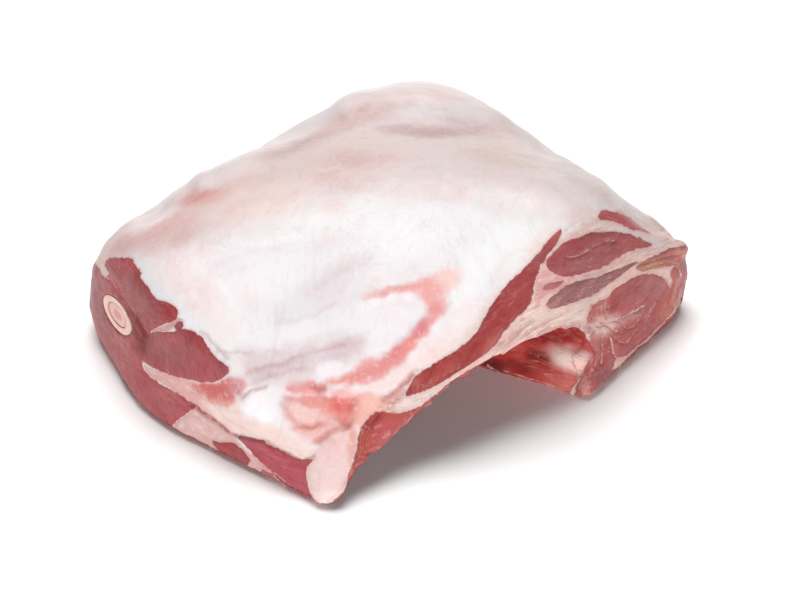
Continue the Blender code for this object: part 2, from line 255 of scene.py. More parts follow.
# Fat that lies over the lean: a colour and an outline in pixels.
FAT_OVER = {
    "outer": (
        ((216, 162, 158), (
            (150, 331), (157, 328), (164, 326), (171, 323), (177, 319), (182, 319), (176, 323),
            (173, 328), (168, 331), (160, 331), (154, 332))),
        ((228, 178, 166), ((612, 363), (618, 356), (622, 358), (632, 352), (624, 364), (614, 371))),
    ),
    "hollow": (),
}

# Thin pale skins across the lean: a width in millimetres, a colour and a line in pixels.
SEAMS = {
    "outer": (
        (0.4, (222, 112, 108), ((109, 277), (115, 284), (121, 293), (127, 303), (134, 312))),
        (0.2, (200, 110, 108), ((138, 318), (143, 326), (147, 334))),
        (0.35, (216, 150, 146), (
            (567, 257), (577, 257), (584, 253), (590, 249), (597, 245), (605, 242), (614, 241))),
        (0.85, (228, 186, 180), ((598, 326), (606, 324), (616, 320), (628, 315), (637, 310), (644, 306))),
        (0.7, (218, 172, 164), ((594, 318), (600, 321), (607, 325), (614, 330), (622, 333))),
        (0.45, (228, 172, 162), ((607, 299), (606, 308), (607, 318))),
        (0.35, (222, 158, 148), ((600, 300), (598, 309), (595, 321))),
        (0.25, (214, 146, 138), ((592, 306), (592, 314), (588, 322))),
        (0.3, (222, 160, 154), ((620, 322), (628, 330), (634, 326), (640, 319))),
        (0.32, (224, 164, 156), ((612, 330), (618, 342), (626, 344), (632, 337), (637, 330))),
        (0.55, (226, 170, 162), ((609, 333), (612, 345), (614, 355), (620, 362))),
        (0.5, (222, 164, 158), ((604, 334), (602, 344), (603, 355), (601, 364))),
        (0.2, (214, 150, 146), ((640, 307), (646, 316), (650, 326))),
        (0.16, (206, 140, 138), ((652, 284), (648, 294), (640, 305))),
        (0.26, (214, 150, 142), ((666, 281), (663, 292), (656, 302), (652, 312))),
        (0.2, (212, 146, 134), ((672, 285), (668, 296), (664, 308))),
        (0.4, (222, 158, 142), ((678, 290), (674, 300), (676, 308))),
        (0.75, (228, 190, 176), (
            (683, 299), (676, 310), (665, 322), (650, 337), (635, 350), (621, 362), (611, 370))),
        (0.25, (210, 140, 132), ((594, 352), (596, 362), (592, 374))),
        (0.25, (208, 150, 130), ((640, 264), (650, 262), (662, 258), (676, 254))),
        (0.25, (222, 186, 120), ((648, 268), (656, 265), (668, 262))),
        (0.45, (222, 158, 156), ((264, 466), (275, 474), (287, 483), (298, 491), (308, 500))),
        (0.25, (214, 128, 104), ((362, 428), (360, 440), (360, 452), (356, 466))),
        (0.18, (214, 134, 110), ((368, 428), (366, 442), (362, 456))),
        (0.3, (214, 140, 140), ((420, 404), (432, 396), (446, 389), (460, 380), (474, 373))),
        (0.3, (220, 150, 140), ((388, 444), (402, 430), (416, 418), (432, 405))),
        (0.18, (204, 120, 110), ((436, 377), (448, 372), (460, 367))),
    ),
    "hollow": (
        (0.4, (232, 160, 140), ((487, 364), (494, 370), (503, 374), (516, 378))),
        (0.35, (236, 166, 152), ((505, 371), (520, 376), (535, 380), (550, 385), (565, 390), (576, 395))),
        (0.3, (204, 92, 80), ((500, 352), (515, 350), (530, 353), (545, 358))),
    ),
}

# Soft stains on the lean, and painted shade in the hollow: centre, half length and half width in
# pixels, turn in degrees, colour and strength.
LEAN_STAINS = (
    ((98, 305), 26, 7, -78, (166, 96, 100), 0.8),
    ((93, 268), 10, 5, -80, (156, 58, 62), 0.8),
    ((128, 362), 24, 11, -50, (186, 82, 84), 0.8),
    ((165, 403), 22, 13, -40, (182, 96, 99), 0.8),
    ((137, 328), 24, 7, -64, (136, 8, 8), 1.0),
    ((143, 345), 9, 6, -80, (136, 8, 8), 1.0),
    ((128, 263), 16, 7, -10, (182, 60, 64), 0.8),
    ((118, 276), 12, 5, -60, (176, 66, 68), 0.6),
    ((148, 300), 20, 9, -55, (158, 80, 82), 0.8),
    ((169, 312), 9, 7, -20, (170, 66, 74), 0.8),
    ((192, 337), 13, 7, -25, (166, 70, 78), 0.7),
    ((170, 355), 22, 11, -20, (160, 92, 95), 0.7),
    ((222, 368), 9, 7, -40, (168, 86, 90), 0.8),
    ((165, 362), 8, 6, 0, (158, 70, 74), 0.6),
    ((250, 440), 18, 4, -15, (168, 98, 104), 0.7),
    ((286, 460), 20, 7, -35, (188, 86, 96), 0.6),
    ((302, 480), 9, 16, -10, (188, 96, 106), 0.6),
    ((240, 456), 12, 4, -45, (168, 78, 84), 0.7),
    ((556, 235), 10, 6, 45, (194, 106, 102), 0.9),
    ((540, 255), 14, 8, 50, (166, 88, 90), 0.8),
    ((506, 308), 24, 10, 55, (164, 60, 60), 0.9),
    ((520, 290), 16, 8, 55, (168, 74, 74), 0.7),
    ((470, 355), 16, 9, 35, (166, 64, 62), 0.8),
    ((435, 372), 24, 6, 28, (184, 82, 78), 0.8),
    ((490, 344), 12, 4, 50, (192, 100, 92), 0.7),
    ((575, 262), 26, 9, 18, (168, 90, 92), 0.7),
    ((632, 242), 18, 6, -10, (180, 84, 84), 0.7),
    ((604, 255), 14, 5, 20, (160, 72, 74), 0.6),
    ((575, 293), 28, 7, 22, (158, 102, 102), 0.8),
    ((625, 270), 14, 4, 25, (156, 96, 94), 0.7),
    ((674, 256), 14, 6, 15, (190, 110, 96), 0.7),
    ((690, 262), 6, 16, 0, (176, 84, 82), 0.8),
    ((650, 268), 10, 3, 15, (214, 168, 118), 0.6),
    ((596, 312), 8, 13, 0, (192, 98, 92), 0.8),
    ((614, 307), 4, 14, -5, (156, 62, 60), 0.9),
    ((636, 291), 18, 14, 35, (174, 86, 88), 0.9),
    ((655, 288), 10, 14, 0, (176, 104, 104), 0.8),
    ((632, 281), 14, 4, 30, (172, 80, 76), 0.7),
    ((667, 306), 8, 14, -20, (194, 96, 80), 0.8),
    ((676, 283), 5, 12, 0, (196, 112, 100), 0.7),
    ((645, 330), 22, 10, 45, (172, 86, 84), 0.8),
    ((640, 312), 12, 4, 30, (156, 84, 86), 0.7),
    ((625, 350), 8, 8, 0, (170, 92, 96), 0.7),
    ((598, 345), 6, 12, 0, (186, 106, 102), 0.7),
    ((593, 340), 5, 7, 0, (176, 112, 110), 0.6),
    ((600, 376), 16, 9, 45, (150, 76, 78), 1.0),
    ((590, 392), 10, 6, 50, (196, 92, 86), 0.9),
    ((385, 424), 18, 10, 40, (194, 92, 90), 0.8),
    ((414, 411), 24, 6, 38, (180, 92, 100), 0.8),
    ((452, 388), 20, 5, 30, (178, 90, 96), 0.8),
    ((362, 445), 6, 20, -15, (184, 88, 72), 0.7),
    ((344, 485), 5, 20, -35, (186, 84, 66), 0.8),
    ((584, 386), 5, 18, 8, (214, 146, 138), 0.9),
    ((604, 326), 16, 8, 20, (236, 200, 193), 0.95),
    ((628, 318), 14, 4, 28, (206, 150, 146), 0.7),
    ((372, 420), 12, 3, 40, (140, 48, 44), 0.7),
)
# The hollow: its dark reds under the roof and inside the lip are painted shade, the rest its own colours.
HOLLOW_STAINS_AND_SHADE = (
    # Painted shade, on this line and the next: dark red inside the arch's lip.
    ((520, 368), 28, 8, -14, (136, 32, 28), 0.9),
    ((492, 366), 14, 8, -30, (104, 24, 22), 0.9),
    ((584, 344), 5, 5, 0, (200, 70, 72), 0.7),
    ((535, 351), 18, 4, -10, (196, 78, 66), 0.7),
    ((555, 380), 20, 7, -22, (200, 84, 74), 0.8),
    ((572, 386), 16, 9, -20, (238, 130, 122), 0.9),
    ((545, 366), 12, 5, -30, (168, 46, 40), 0.7),
    ((570, 359), 20, 10, -22, (255, 234, 226), 1.0),
    ((580, 367), 13, 8, -40, (255, 206, 196), 0.9),
    ((587, 384), 7, 16, 8, (234, 168, 158), 0.9),
    # Painted shade, on this line and the next: dark red under the hollow's roof.
    ((556, 337), 32, 7, 3, (140, 26, 26), 1.0),
    ((538, 356), 12, 7, -10, (126, 30, 28), 0.9),
    ((566, 394), 16, 2.5, -22, (232, 150, 136), 0.8),
)

# The fat's own shapes: a colour, how soft the edge is in pixels, how far the shape stands out in
# millimetres, and an outline in pixels.
FAT_SHAPES = (
    # The cut faces and the rims, which are pinker than the cover.
    ((232, 200, 190), 2.5, 0.0, (
        (380, 400), (405, 391), (440, 380), (485, 354), (520, 312), (534, 296), (536, 278), (545, 258),
        (556, 243), (575, 228), (600, 214), (640, 205), (710, 240), (700, 320), (600, 410), (570, 410),
        (470, 410), (380, 420))),
    ((234, 212, 208), 2.0, 0.0, (
        (590, 226), (612, 223), (640, 231), (665, 240), (684, 246), (650, 250), (620, 230), (600, 231))),
    ((224, 172, 168), 2.0, 0.0, (
        (536, 275), (545, 268), (552, 275), (575, 278), (600, 272), (590, 278), (560, 284), (545, 300),
        (534, 306))),
    ((224, 196, 186), 2.5, 0.0, (
        (545, 312), (580, 302), (600, 294), (592, 304), (580, 318), (560, 324), (530, 332), (505, 345),
        (520, 322))),
    ((212, 172, 166), 3.0, 0.0, (
        (520, 336), (560, 322), (590, 324), (600, 335), (585, 345), (560, 333), (530, 341))),
    ((234, 196, 184), 1.5, 0.0, (
        (600, 290), (615, 280), (632, 272), (650, 270), (668, 272), (650, 274), (632, 278), (615, 288),
        (606, 298))),
    ((236, 214, 208), 1.5, 0.0, (
        (395, 404), (420, 399), (445, 385), (470, 370), (447, 377), (425, 386), (403, 393))),
    ((240, 212, 204), 1.5, 0.0, ((95, 254), (104, 260), (108, 272), (112, 281), (105, 278), (97, 267))),
    ((228, 176, 172), 1.5, 0.0, (
        (142, 363), (150, 366), (160, 371), (172, 376), (190, 381), (203, 390), (214, 403), (226, 418),
        (240, 433), (232, 438), (214, 423), (197, 409), (185, 399), (170, 390), (155, 381), (146, 373))),
    ((221, 181, 177), 1.5, 0.0, (
        (172, 424), (190, 410), (197, 408), (212, 420), (232, 438), (245, 447), (262, 463), (276, 474),
        (268, 480), (250, 470), (232, 458), (200, 450), (172, 436))),
    # The flap corner.
    ((244, 220, 212), 5.0, 0.0, (
        (196, 398), (215, 406), (235, 402), (245, 414), (262, 424), (300, 440), (318, 455), (300, 460),
        (270, 446), (238, 436), (215, 420))),
    ((249, 244, 247), 6.0, 1.2, (
        (240, 402), (247, 394), (258, 390), (269, 391), (278, 397), (280, 406), (276, 415), (264, 420),
        (250, 418), (242, 411))),
    ((212, 122, 118), 3.5, -0.4, (
        (188, 384), (200, 382), (213, 384), (222, 381), (230, 376), (238, 378), (243, 386), (240, 395),
        (232, 401), (222, 405), (211, 403), (203, 398), (194, 392))),
    ((243, 196, 190), 6.0, 0.0, (
        (284, 404), (300, 410), (320, 417), (340, 421), (345, 430), (325, 438), (318, 446), (302, 438),
        (290, 427), (282, 415))),
    ((243, 180, 172), 8.0, -1.4, (
        (284, 394), (300, 391), (318, 393), (335, 395), (352, 393), (358, 398), (356, 408), (352, 420),
        (347, 426), (336, 420), (320, 416), (304, 410), (288, 403))),
    ((230, 154, 152), 2.0, 0.8, (
        (284, 388), (296, 383), (310, 381), (321, 384), (325, 389), (319, 393), (304, 393), (292, 392))),
    ((246, 190, 178), 3.0, 0.6, (
        (355, 395), (368, 392), (380, 396), (392, 402), (380, 408), (368, 416), (361, 428), (352, 424),
        (355, 410))),
    ((240, 210, 207), 3.0, 1.6, (
        (304, 470), (312, 458), (320, 443), (335, 432), (350, 426), (359, 430), (356, 450), (350, 468),
        (341, 486), (331, 500), (320, 508), (311, 496), (306, 484))),
    # The salmon streak round the smooth island of fat.
    ((240, 176, 172), 4.5, -0.7, (
        (360, 300), (370, 295), (384, 290), (400, 286), (420, 281), (433, 274), (447, 269), (460, 268),
        (462, 279), (457, 287), (450, 293), (447, 303), (441, 313), (434, 324), (426, 335), (418, 344),
        (410, 350), (404, 360), (396, 366), (388, 374), (378, 381), (365, 384), (350, 385), (335, 387),
        (322, 386), (325, 381), (335, 378), (346, 374), (358, 366), (364, 360), (375, 358), (392, 351),
        (400, 345), (408, 336), (416, 325), (424, 317), (429, 309), (426, 303), (420, 297), (412, 294),
        (400, 294), (383, 298), (368, 301))),
    ((246, 240, 243), 2.0, 1.4, (
        (355, 308), (367, 301), (383, 298), (400, 294), (412, 294), (420, 297), (426, 303), (429, 309),
        (424, 317), (416, 325), (408, 336), (400, 344), (390, 351), (378, 356), (366, 352), (362, 340),
        (356, 325))),
    # The front fat between the salmon streak and the strap.
    ((249, 228, 224), 4.0, 0.9, (
        (405, 362), (392, 372), (380, 382), (362, 388), (345, 388), (332, 392), (350, 395), (368, 392),
        (385, 392), (398, 385), (408, 376), (420, 368), (437, 361), (460, 347), (472, 337), (480, 325),
        (462, 322), (445, 335), (425, 352))),
    ((236, 182, 174), 2.0, 0.0, (
        (382, 397), (395, 388), (408, 374), (420, 366), (412, 376), (404, 388), (395, 398), (384, 403))),
    # The thin grey-mauve membrane over the shank.
    ((228, 212, 216), 9.0, -0.5, (
        (238, 346), (262, 350), (290, 346), (330, 338), (355, 336), (366, 343), (362, 358), (342, 366),
        (310, 376), (280, 382), (252, 390), (243, 385), (240, 370), (234, 358))),
    ((248, 240, 244), 3.0, 0.5, ((316, 366), (330, 360), (345, 360), (342, 370), (328, 378), (314, 376))),
)

# Soft stains on the fat, written like those on the lean; among them are painted light and painted shade,
# each noted.
FAT_STAINS_LIGHT_AND_SHADE = (
    # Painted light: the whiter front of the top.
    ((486, 262), 50, 22, 42, (250, 250, 251), 0.9),
    ((432, 226), 60, 24, 18, (246, 245, 248), 0.8),
    ((420, 135), 130, 46, 2, (234, 212, 208), 0.6),
    ((240, 195), 110, 34, 18, (242, 214, 209), 0.6),
    ((520, 170), 90, 34, -14, (232, 212, 208), 0.6),
    ((350, 165), 60, 22, 4, (236, 202, 196), 0.5),
    # Painted shade: lilac grey over the middle of the top.
    ((318, 262), 62, 24, 10, (234, 232, 236), 0.6),
    ((180, 238), 24, 9, 28, (226, 190, 186), 0.8),
    ((200, 252), 18, 9, 25, (238, 214, 212), 0.6),
    ((250, 181), 24, 7, 12, (232, 190, 186), 0.6),
    ((503, 208), 30, 10, -10, (230, 218, 218), 0.7),
    ((330, 335), 18, 5, 15, (226, 222, 222), 0.6),
    ((205, 198), 24, 8, 12, (220, 150, 145), 1.0),
    ((190, 215), 34, 8, 28, (238, 200, 194), 0.7),
    ((160, 230), 22, 8, 28, (234, 188, 182), 0.8),
    ((122, 246), 20, 9, 25, (226, 172, 168), 0.8),
    ((150, 246), 16, 8, 20, (232, 192, 188), 0.6),
    ((112, 236), 24, 8, 35, (228, 198, 192), 0.7),
    ((255, 182), 18, 4, 8, (238, 206, 202), 0.7),
    ((258, 200), 46, 16, 10, (250, 225, 218), 0.8),
    ((300, 165), 40, 10, 20, (232, 210, 206), 0.7),
    ((352, 160), 22, 9, -5, (226, 194, 190), 0.8),
    ((342, 182), 26, 7, -10, (236, 206, 202), 0.6),
    ((335, 206), 12, 7, 0, (244, 212, 208), 0.7),
    ((300, 145), 40, 6, 24, (212, 184, 179), 0.9),
    ((346, 122), 30, 7, 22, (228, 198, 193), 1.0),
    ((330, 136), 24, 4, 25, (232, 214, 212), 0.6),
    ((420, 94), 44, 8, 0, (247, 230, 227), 0.7),
    ((382, 108), 30, 10, 12, (222, 194, 190), 0.8),
    ((426, 131), 36, 5, -3, (206, 178, 175), 0.85),
    ((470, 126), 34, 8, -22, (216, 192, 190), 0.7),
    ((500, 112), 20, 6, -40, (222, 204, 202), 0.6),
    ((440, 112), 40, 6, -4, (240, 232, 232), 0.5),
    ((503, 156), 40, 9, -8, (225, 200, 192), 0.9),
    ((515, 182), 40, 9, -14, (234, 214, 212), 0.6),
    # The greyish cream of the right slope, on this line and the next two, darkened with painted shade.
    ((590, 185), 40, 9, -32, (226, 210, 205), 0.8),
    ((560, 168), 26, 6, -26, (210, 196, 192), 0.7),
    ((640, 212), 26, 6, -38, (212, 198, 194), 0.8),
    ((580, 215), 18, 8, 10, (236, 210, 202), 0.7),
    ((462, 196), 9, 6, 0, (242, 212, 208), 0.6),
    ((410, 190), 40, 12, -5, (240, 224, 222), 0.6),
    # Painted shade, on this line and the next five: lilac grey in the shallow dips of the top.
    ((230, 262), 22, 12, 20, (234, 228, 232), 0.8),
    ((300, 250), 60, 8, 12, (236, 230, 232), 0.6),
    ((330, 280), 34, 14, 28, (228, 222, 227), 0.8),
    ((300, 306), 30, 12, 15, (230, 226, 231), 0.8),
    ((345, 300), 22, 12, 30, (232, 226, 230), 0.7),
    ((330, 322), 30, 8, 15, (240, 236, 240), 0.7),
    ((180, 275), 26, 14, -50, (246, 224, 220), 0.7),
    ((210, 310), 34, 14, -50, (247, 232, 230), 0.6),
    ((275, 366), 34, 4, 14, (204, 180, 188), 0.6),
    ((345, 348), 16, 8, 30, (216, 192, 196), 0.8),
    ((262, 376), 18, 5, 15, (214, 192, 196), 0.7),
    ((240, 366), 8, 16, 0, (244, 238, 240), 0.6),
    ((237, 387), 7, 9, 0, (214, 146, 150), 0.9),
    ((212, 388), 14, 6, -10, (206, 98, 92), 0.7),
    ((222, 402), 14, 3, 5, (238, 172, 156), 0.7),
    ((298, 384), 14, 5, 10, (232, 180, 180), 0.6),
    ((318, 388), 6, 3.5, 0, (208, 116, 116), 0.8),
    ((343, 405), 15, 12, -10, (228, 106, 98), 0.95),
    ((318, 400), 16, 6, 0, (236, 138, 130), 0.6),
    ((346, 424), 8, 5, -60, (220, 98, 84), 0.6),
    ((300, 416), 16, 8, -25, (248, 206, 196), 0.7),
    ((312, 427), 18, 3, 5, (226, 128, 122), 0.7),
    ((330, 434), 16, 3, 25, (222, 128, 118), 0.7),
    ((352, 440), 4, 22, -6, (236, 160, 142), 0.7),
    ((336, 444), 12, 14, 0, (244, 204, 202), 0.7),
    ((372, 404), 14, 7, 25, (250, 196, 180), 0.7),
    ((270, 432), 24, 8, -20, (247, 220, 212), 0.7),
    ((208, 428), 18, 8, -35, (232, 194, 190), 0.7),
    ((262, 462), 10, 4, -35, (224, 164, 162), 0.7),
    ((180, 384), 20, 4, -25, (230, 178, 174), 0.7),
    ((448, 277), 13, 9, 10, (250, 214, 206), 0.85),
    ((430, 291), 14, 7, 20, (240, 168, 162), 0.8),
    ((437, 308), 8, 9, 50, (234, 150, 148), 0.8),
    ((395, 289), 26, 3, 8, (236, 170, 160), 0.6),
    ((418, 333), 16, 5, 48, (228, 130, 138), 0.9),
    ((400, 351), 14, 6, 40, (232, 134, 134), 0.8),
    ((410, 345), 8, 5, 30, (246, 152, 142), 0.8),
    ((384, 365), 16, 8, 25, (228, 142, 142), 0.8),
    ((356, 376), 20, 5, 18, (232, 148, 142), 0.8),
    ((462, 322), 26, 14, 50, (246, 232, 232), 0.8),
    ((478, 322), 30, 4, 58, (234, 212, 204), 0.8),
    ((430, 348), 14, 8, 40, (247, 222, 220), 0.7),
    ((522, 266), 30, 3, 50, (244, 224, 218), 0.4),
    ((545, 242), 18, 8, 45, (244, 222, 212), 0.7),
    ((553, 288), 14, 6, 10, (200, 140, 138), 0.7),
    ((584, 330), 12, 6, -10, (190, 152, 150), 0.7),
    ((620, 262), 30, 3, 25, (206, 158, 158), 0.6),
    ((600, 288), 24, 2.5, 30, (228, 178, 170), 0.6),
    ((510, 338), 20, 3, 38, (206, 146, 136), 0.6),
    ((540, 326), 20, 2, 25, (188, 132, 124), 0.5),
)

# Broad swells and dips: centre, half length and half width in pixels, turn, height in millimetres.
SWELLS = (
    ((582, 166), 26, 16, -35, 4.2),
    ((604, 184), 14, 9, -38, 2.2),
    ((652, 216), 26, 12, -40, -5.0),
    ((682, 247), 8, 8, -40, 4.0),
    ((684, 290), 6, 12, 0, -1.8),
    ((524, 132), 20, 12, -40, -1.6),
    ((550, 149), 15, 10, -38, -2.4),
    ((352, 100), 18, 13, 27, 3.4),
    ((262, 152), 16, 10, 30, 1.6),
    ((232, 160), 26, 14, 15, 2.0),
    ((200, 178), 10, 9, 30, 2.2),
    ((150, 208), 18, 12, 30, -3.8),
    ((342, 492), 8, 15, -35, 2.6),
    ((440, 325), 9, 16, -40, -0.6),
    ((455, 325), 30, 12, 50, 1.6),
    ((520, 264), 34, 12, 48, 1.2),
    ((205, 330), 24, 14, -45, -0.8),
    ((290, 345), 40, 14, 10, -0.8),
    ((160, 228), 26, 14, 28, 0.8),
    ((570, 358), 16, 10, 0, 2.5),
)

# The arch's lip hangs a little lower, written like a swell.
SAG = ((404, 415), 46, 18, 43, 6.2)

# Folds: width and depth in millimetres, how much the fold is shaded, and a line in pixels.
FOLDS = (
    (0.8, 1.0, 1.0, ((190, 403), (197, 409), (210, 418), (225, 428), (236, 437))),
    (0.9, 0.7, 0.5, ((236, 436), (262, 441), (283, 451), (300, 460), (314, 458))),
    (1.1, 0.9, 0.5, ((242, 399), (248, 393), (256, 390), (266, 389))),
    (1.0, 0.6, 0.35, ((200, 333), (207, 337), (213, 344), (218, 350), (226, 357))),
    (0.8, 0.3, 0.25, ((216, 352), (228, 352), (240, 353), (252, 352))),
    (1.5, 0.8, 0.3, ((284, 404), (290, 416), (300, 425), (312, 427), (326, 421), (340, 420), (347, 426))),
    (1.4, 0.8, 0.35, ((318, 443), (322, 437), (333, 431), (346, 426), (351, 422))),
    (1.2, 0.5, 0.2, ((284, 397), (300, 394), (316, 395), (334, 398))),
    (0.9, 0.6, 0.4, ((322, 384), (325, 389), (319, 393))),
    (0.9, 0.8, 0.6, ((382, 399), (392, 391), (404, 384), (414, 374))),
    (0.8, 0.6, 0.5, ((390, 402), (398, 395), (406, 388))),
    (1.1, 0.4, 0.22, ((246, 373), (270, 365), (292, 361), (312, 352), (342, 346))),
    (1.0, 0.3, 0.18, ((262, 380), (285, 372), (305, 368))),
    (1.2, 0.4, 0.12, ((278, 321), (300, 321), (320, 312), (336, 303))),
    (1.4, 0.4, 0.12, ((315, 290), (330, 278), (350, 266), (372, 258))),
    (1.4, 0.3, 0.08, ((222, 262), (250, 250), (290, 243))),
    (1.0, 0.5, 0.15, ((430, 309), (424, 318), (412, 330), (400, 343), (386, 353))),
    (1.6, 0.5, 0.1, ((250, 152), (285, 146), (320, 138), (352, 128))),
    (1.8, 0.5, 0.12, ((380, 128), (410, 136), (445, 136), (480, 130))),
    (0.6, 0.3, 0.25, ((484, 366), (500, 348), (530, 334), (560, 326), (590, 328))),
    (0.6, 0.3, 0.25, ((498, 345), (515, 332), (535, 322))),
)

# Bands whose fibres follow a line: how long the fibres look, how strongly they show, the line and
# the outline of the band.
FIBRE_BANDS = (
    (
        6.0, 1.0,
        (
            (385, 404), (430, 388), (470, 366), (500, 342), (525, 322), (555, 308), (600, 290),
            (640, 268), (690, 245)),
        (
            (370, 412), (400, 388), (480, 345), (530, 270), (550, 235), (600, 212), (710, 235),
            (700, 320), (600, 410), (575, 410), (440, 420)),
    ),
    (
        6.0, 0.5,
        (
            (144, 364), (175, 385), (200, 402), (235, 432), (270, 465), (310, 495)),
        (
            (136, 358), (160, 371), (190, 381), (240, 432), (320, 458), (320, 515), (260, 490),
            (165, 440), (185, 400), (150, 380)),
    ),
)

# The two hidden walls are guessed: muscles as ovals, by their centre along the wall and height,
# half length and half height, in millimetres, their tilt in degrees and their colour.
BACK_MUSCLES = (
    ((-72, 22), 30, 12, 6, (168, 78, 82)),
    ((-18, 30), 26, 11, 10, (160, 86, 90)),
    ((-14, 10), 30, 6, 0, (176, 84, 84)),
    ((34, 22), 24, 15, -8, (166, 74, 76)),
    ((76, 30), 18, 9, -18, (158, 84, 88)),
    ((78, 11), 22, 6, 4, (180, 86, 84)),
)
CHINE_MUSCLES = (
    ((-70, 26), 22, 15, 12, (164, 78, 80)),
    ((-34, 12), 18, 8, 0, (178, 86, 84)),
    ((-24, 34), 22, 8, 16, (160, 90, 92)),
    ((16, 20), 26, 13, -6, (168, 74, 76)),
    ((58, 30), 18, 9, -14, (162, 84, 88)),
    ((60, 10), 22, 6, 0, (176, 84, 84)),
)


# Seeing the meat as the photograph's camera does


def camera_axes():
    back = (EYE - AIM).normalized()
    right = Vector((0, 0, 1)).cross(back).normalized()
    return np.array(right), np.array(back.cross(right)), np.array(back)


def seen_at(points):
    """The pixel at which the camera sees each point."""
    right, up, back = camera_axes()
    gap = points - np.array(EYE)
    focal = LENS_MM / SENSOR_MM * IMAGE_WIDTH
    scale = focal / -(gap @ back)
    return np.column_stack([
        IMAGE_WIDTH / 2 + (gap @ right) * scale,
        IMAGE_HEIGHT / 2 - (gap @ up) * scale,
    ])


def facing(points, normals):
    """How much each point faces the camera: 1 straight on, 0 edge-on, negative turned away."""
    to_eye = np.array(EYE) - points
    to_eye /= np.linalg.norm(to_eye, axis=1)[:, None]
    return (normals * to_eye).sum(axis=1)


# Outlines and distances


def rounded(corners, closed, rounds=1):
    """Cuts the corners of a drawn line, so that it reads as a curve."""
    points = [np.array(corner, float) for corner in corners]
    for _ in range(rounds):
        pairs = list(zip(points, points[1:] + points[:1] if closed else points[1:]))
        cut = [p for a, b in pairs for p in (a * 0.75 + b * 0.25, a * 0.25 + b * 0.75)]
        points = cut if closed else [points[0]] + cut + [points[-1]]
    return np.array(points)


def distance_to_line(places, line, closed=False):
    """How far each place is from a line."""
    nearest = np.full(len(places), np.inf)
    ends = np.roll(line, -1, axis=0) if closed else line[1:]
    for start, end in zip(line, ends):
        along = end - start
        t = np.clip((places - start) @ along / max(along @ along, 1e-12), 0, 1)
        gap = places - (start + t[:, None] * along)
        nearest = np.minimum(nearest, np.hypot(gap[:, 0], gap[:, 1]))
    return nearest


def distance_inside(places, outline):
    """How far each place is inside a closed outline; outside it the distance is negative."""
    inside = np.zeros(len(places), bool)
    for (ax, ay), (bx, by) in zip(outline, np.roll(outline, -1, axis=0)):
        if ay == by:
            continue
        crosses = (places[:, 1] < ay) != (places[:, 1] < by)
        inside ^= crosses & (places[:, 0] < ax + (places[:, 1] - ay) * (bx - ax) / (by - ay))
    gap = distance_to_line(places, outline, closed=True)
    return np.where(inside, gap, -gap)


def inside_outline(places, outline):
    return distance_inside(places, rounded(outline, closed=True))


def along_and_across(places, line):
    """Each place measured along a line, and across it."""
    nearest = np.full(len(places), np.inf)
    found = np.zeros((len(places), 2))
    done = 0.0
    for start, end in zip(line, line[1:]):
        length = np.hypot(*(end - start))
        along = (end - start) / length
        reach = (places - start) @ along
        gap = places - (start + np.clip(reach, 0, length)[:, None] * along)
        distance = np.hypot(gap[:, 0], gap[:, 1])
        side = (places - start) @ np.array([-along[1], along[0]])
        closer = distance < nearest
        nearest[closer] = distance[closer]
        found[closer] = np.column_stack([done + reach, side])[closer]
        done += length
    return found


def turned(places, degrees, stretch):
    """Places in a picture, y down, measured along and across a grain; the long way is shortened."""
    angle = math.radians(degrees)
    along = places[:, 0] * math.cos(angle) - places[:, 1] * math.sin(angle)
    across = places[:, 1] * math.cos(angle) + places[:, 0] * math.sin(angle)
    return np.column_stack([along / stretch, across])


def smooth_step(value, low, high):
    t = np.clip((value - low) / (high - low), 0, 1)
    return t * t * (3 - 2 * t)


def rough(points, size, octaves=3, seed=0.0):
    """Smooth noise between about -1 and 1, with bumps of a size in metres."""
    shift = Vector((seed, -seed, 2 * seed))
    return np.array([noise.fractal(Vector(p) / size + shift, 0.9, 2.0, octaves) for p in points])


def swayed(places, points, size, octaves, seeds, reach):
    """Places in a picture, moved a little by noise on the meat."""
    return places + reach * np.column_stack([rough(points, size, octaves, seed) for seed in seeds])


def oval_reach(places, centre, length, width, turn):
    """How far out each place is in an oval: 0 in the middle, 1 at the edge."""
    local = turned(places - centre, turn, 1.0)
    return np.hypot(local[:, 0] / length, local[:, 1] / width)


def oval_weight(places, oval_patch):
    """How strongly a soft oval patch covers each place: a tint, painted light and shade included, or a
    swell.
    """
    centre, length, width, turn = oval_patch[:4]
    return np.exp(-0.7 * oval_reach(places, np.array(centre, float), length, width, turn) ** 3)


def mixed(colours, colour, weight):
    weight = weight[:, None]
    return colours * (1 - weight) + np.array(linear(colour)) * weight


# The fine skin


def linked(name, data):
    """A new object in the scene."""
    piece = bpy.data.objects.new(name, data)
    bpy.context.scene.collection.objects.link(piece)
    return piece


def solid_surface(names):
    """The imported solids' surface, for rays to hit."""
    points, faces = [], []
    for name in names:
        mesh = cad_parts[name].data
        faces += [[len(points) + i for i in face.vertices] for face in mesh.polygons]
        points += [vert.co.copy() for vert in mesh.vertices]
    return BVHTree.FromPolygons(points, faces)


SURFACE = solid_surface(["meat", "arm_bone"])


def joined_solids():
    """The meat and the bone in one mesh, so that the skin closes over the bone's pocket."""
    builder = bmesh.new()
    for name in ("meat", "arm_bone"):
        builder.from_mesh(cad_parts[name].data)
    bmesh.ops.remove_doubles(builder, verts=builder.verts, dist=0.01 * MM)
    return builder


def remeshed(builder):
    """The same shape with small, even faces."""
    mesh = bpy.data.meshes.new("skin_start")
    builder.to_mesh(mesh)
    builder.free()
    piece = linked("skin_start", mesh)
    change = piece.modifiers.new("even faces", "REMESH")
    change.mode = "VOXEL"
    change.voxel_size = VOXEL
    graph = bpy.context.evaluated_depsgraph_get()
    fine = bpy.data.meshes.new_from_object(piece.evaluated_get(graph))
    bpy.data.objects.remove(piece)
    return fine


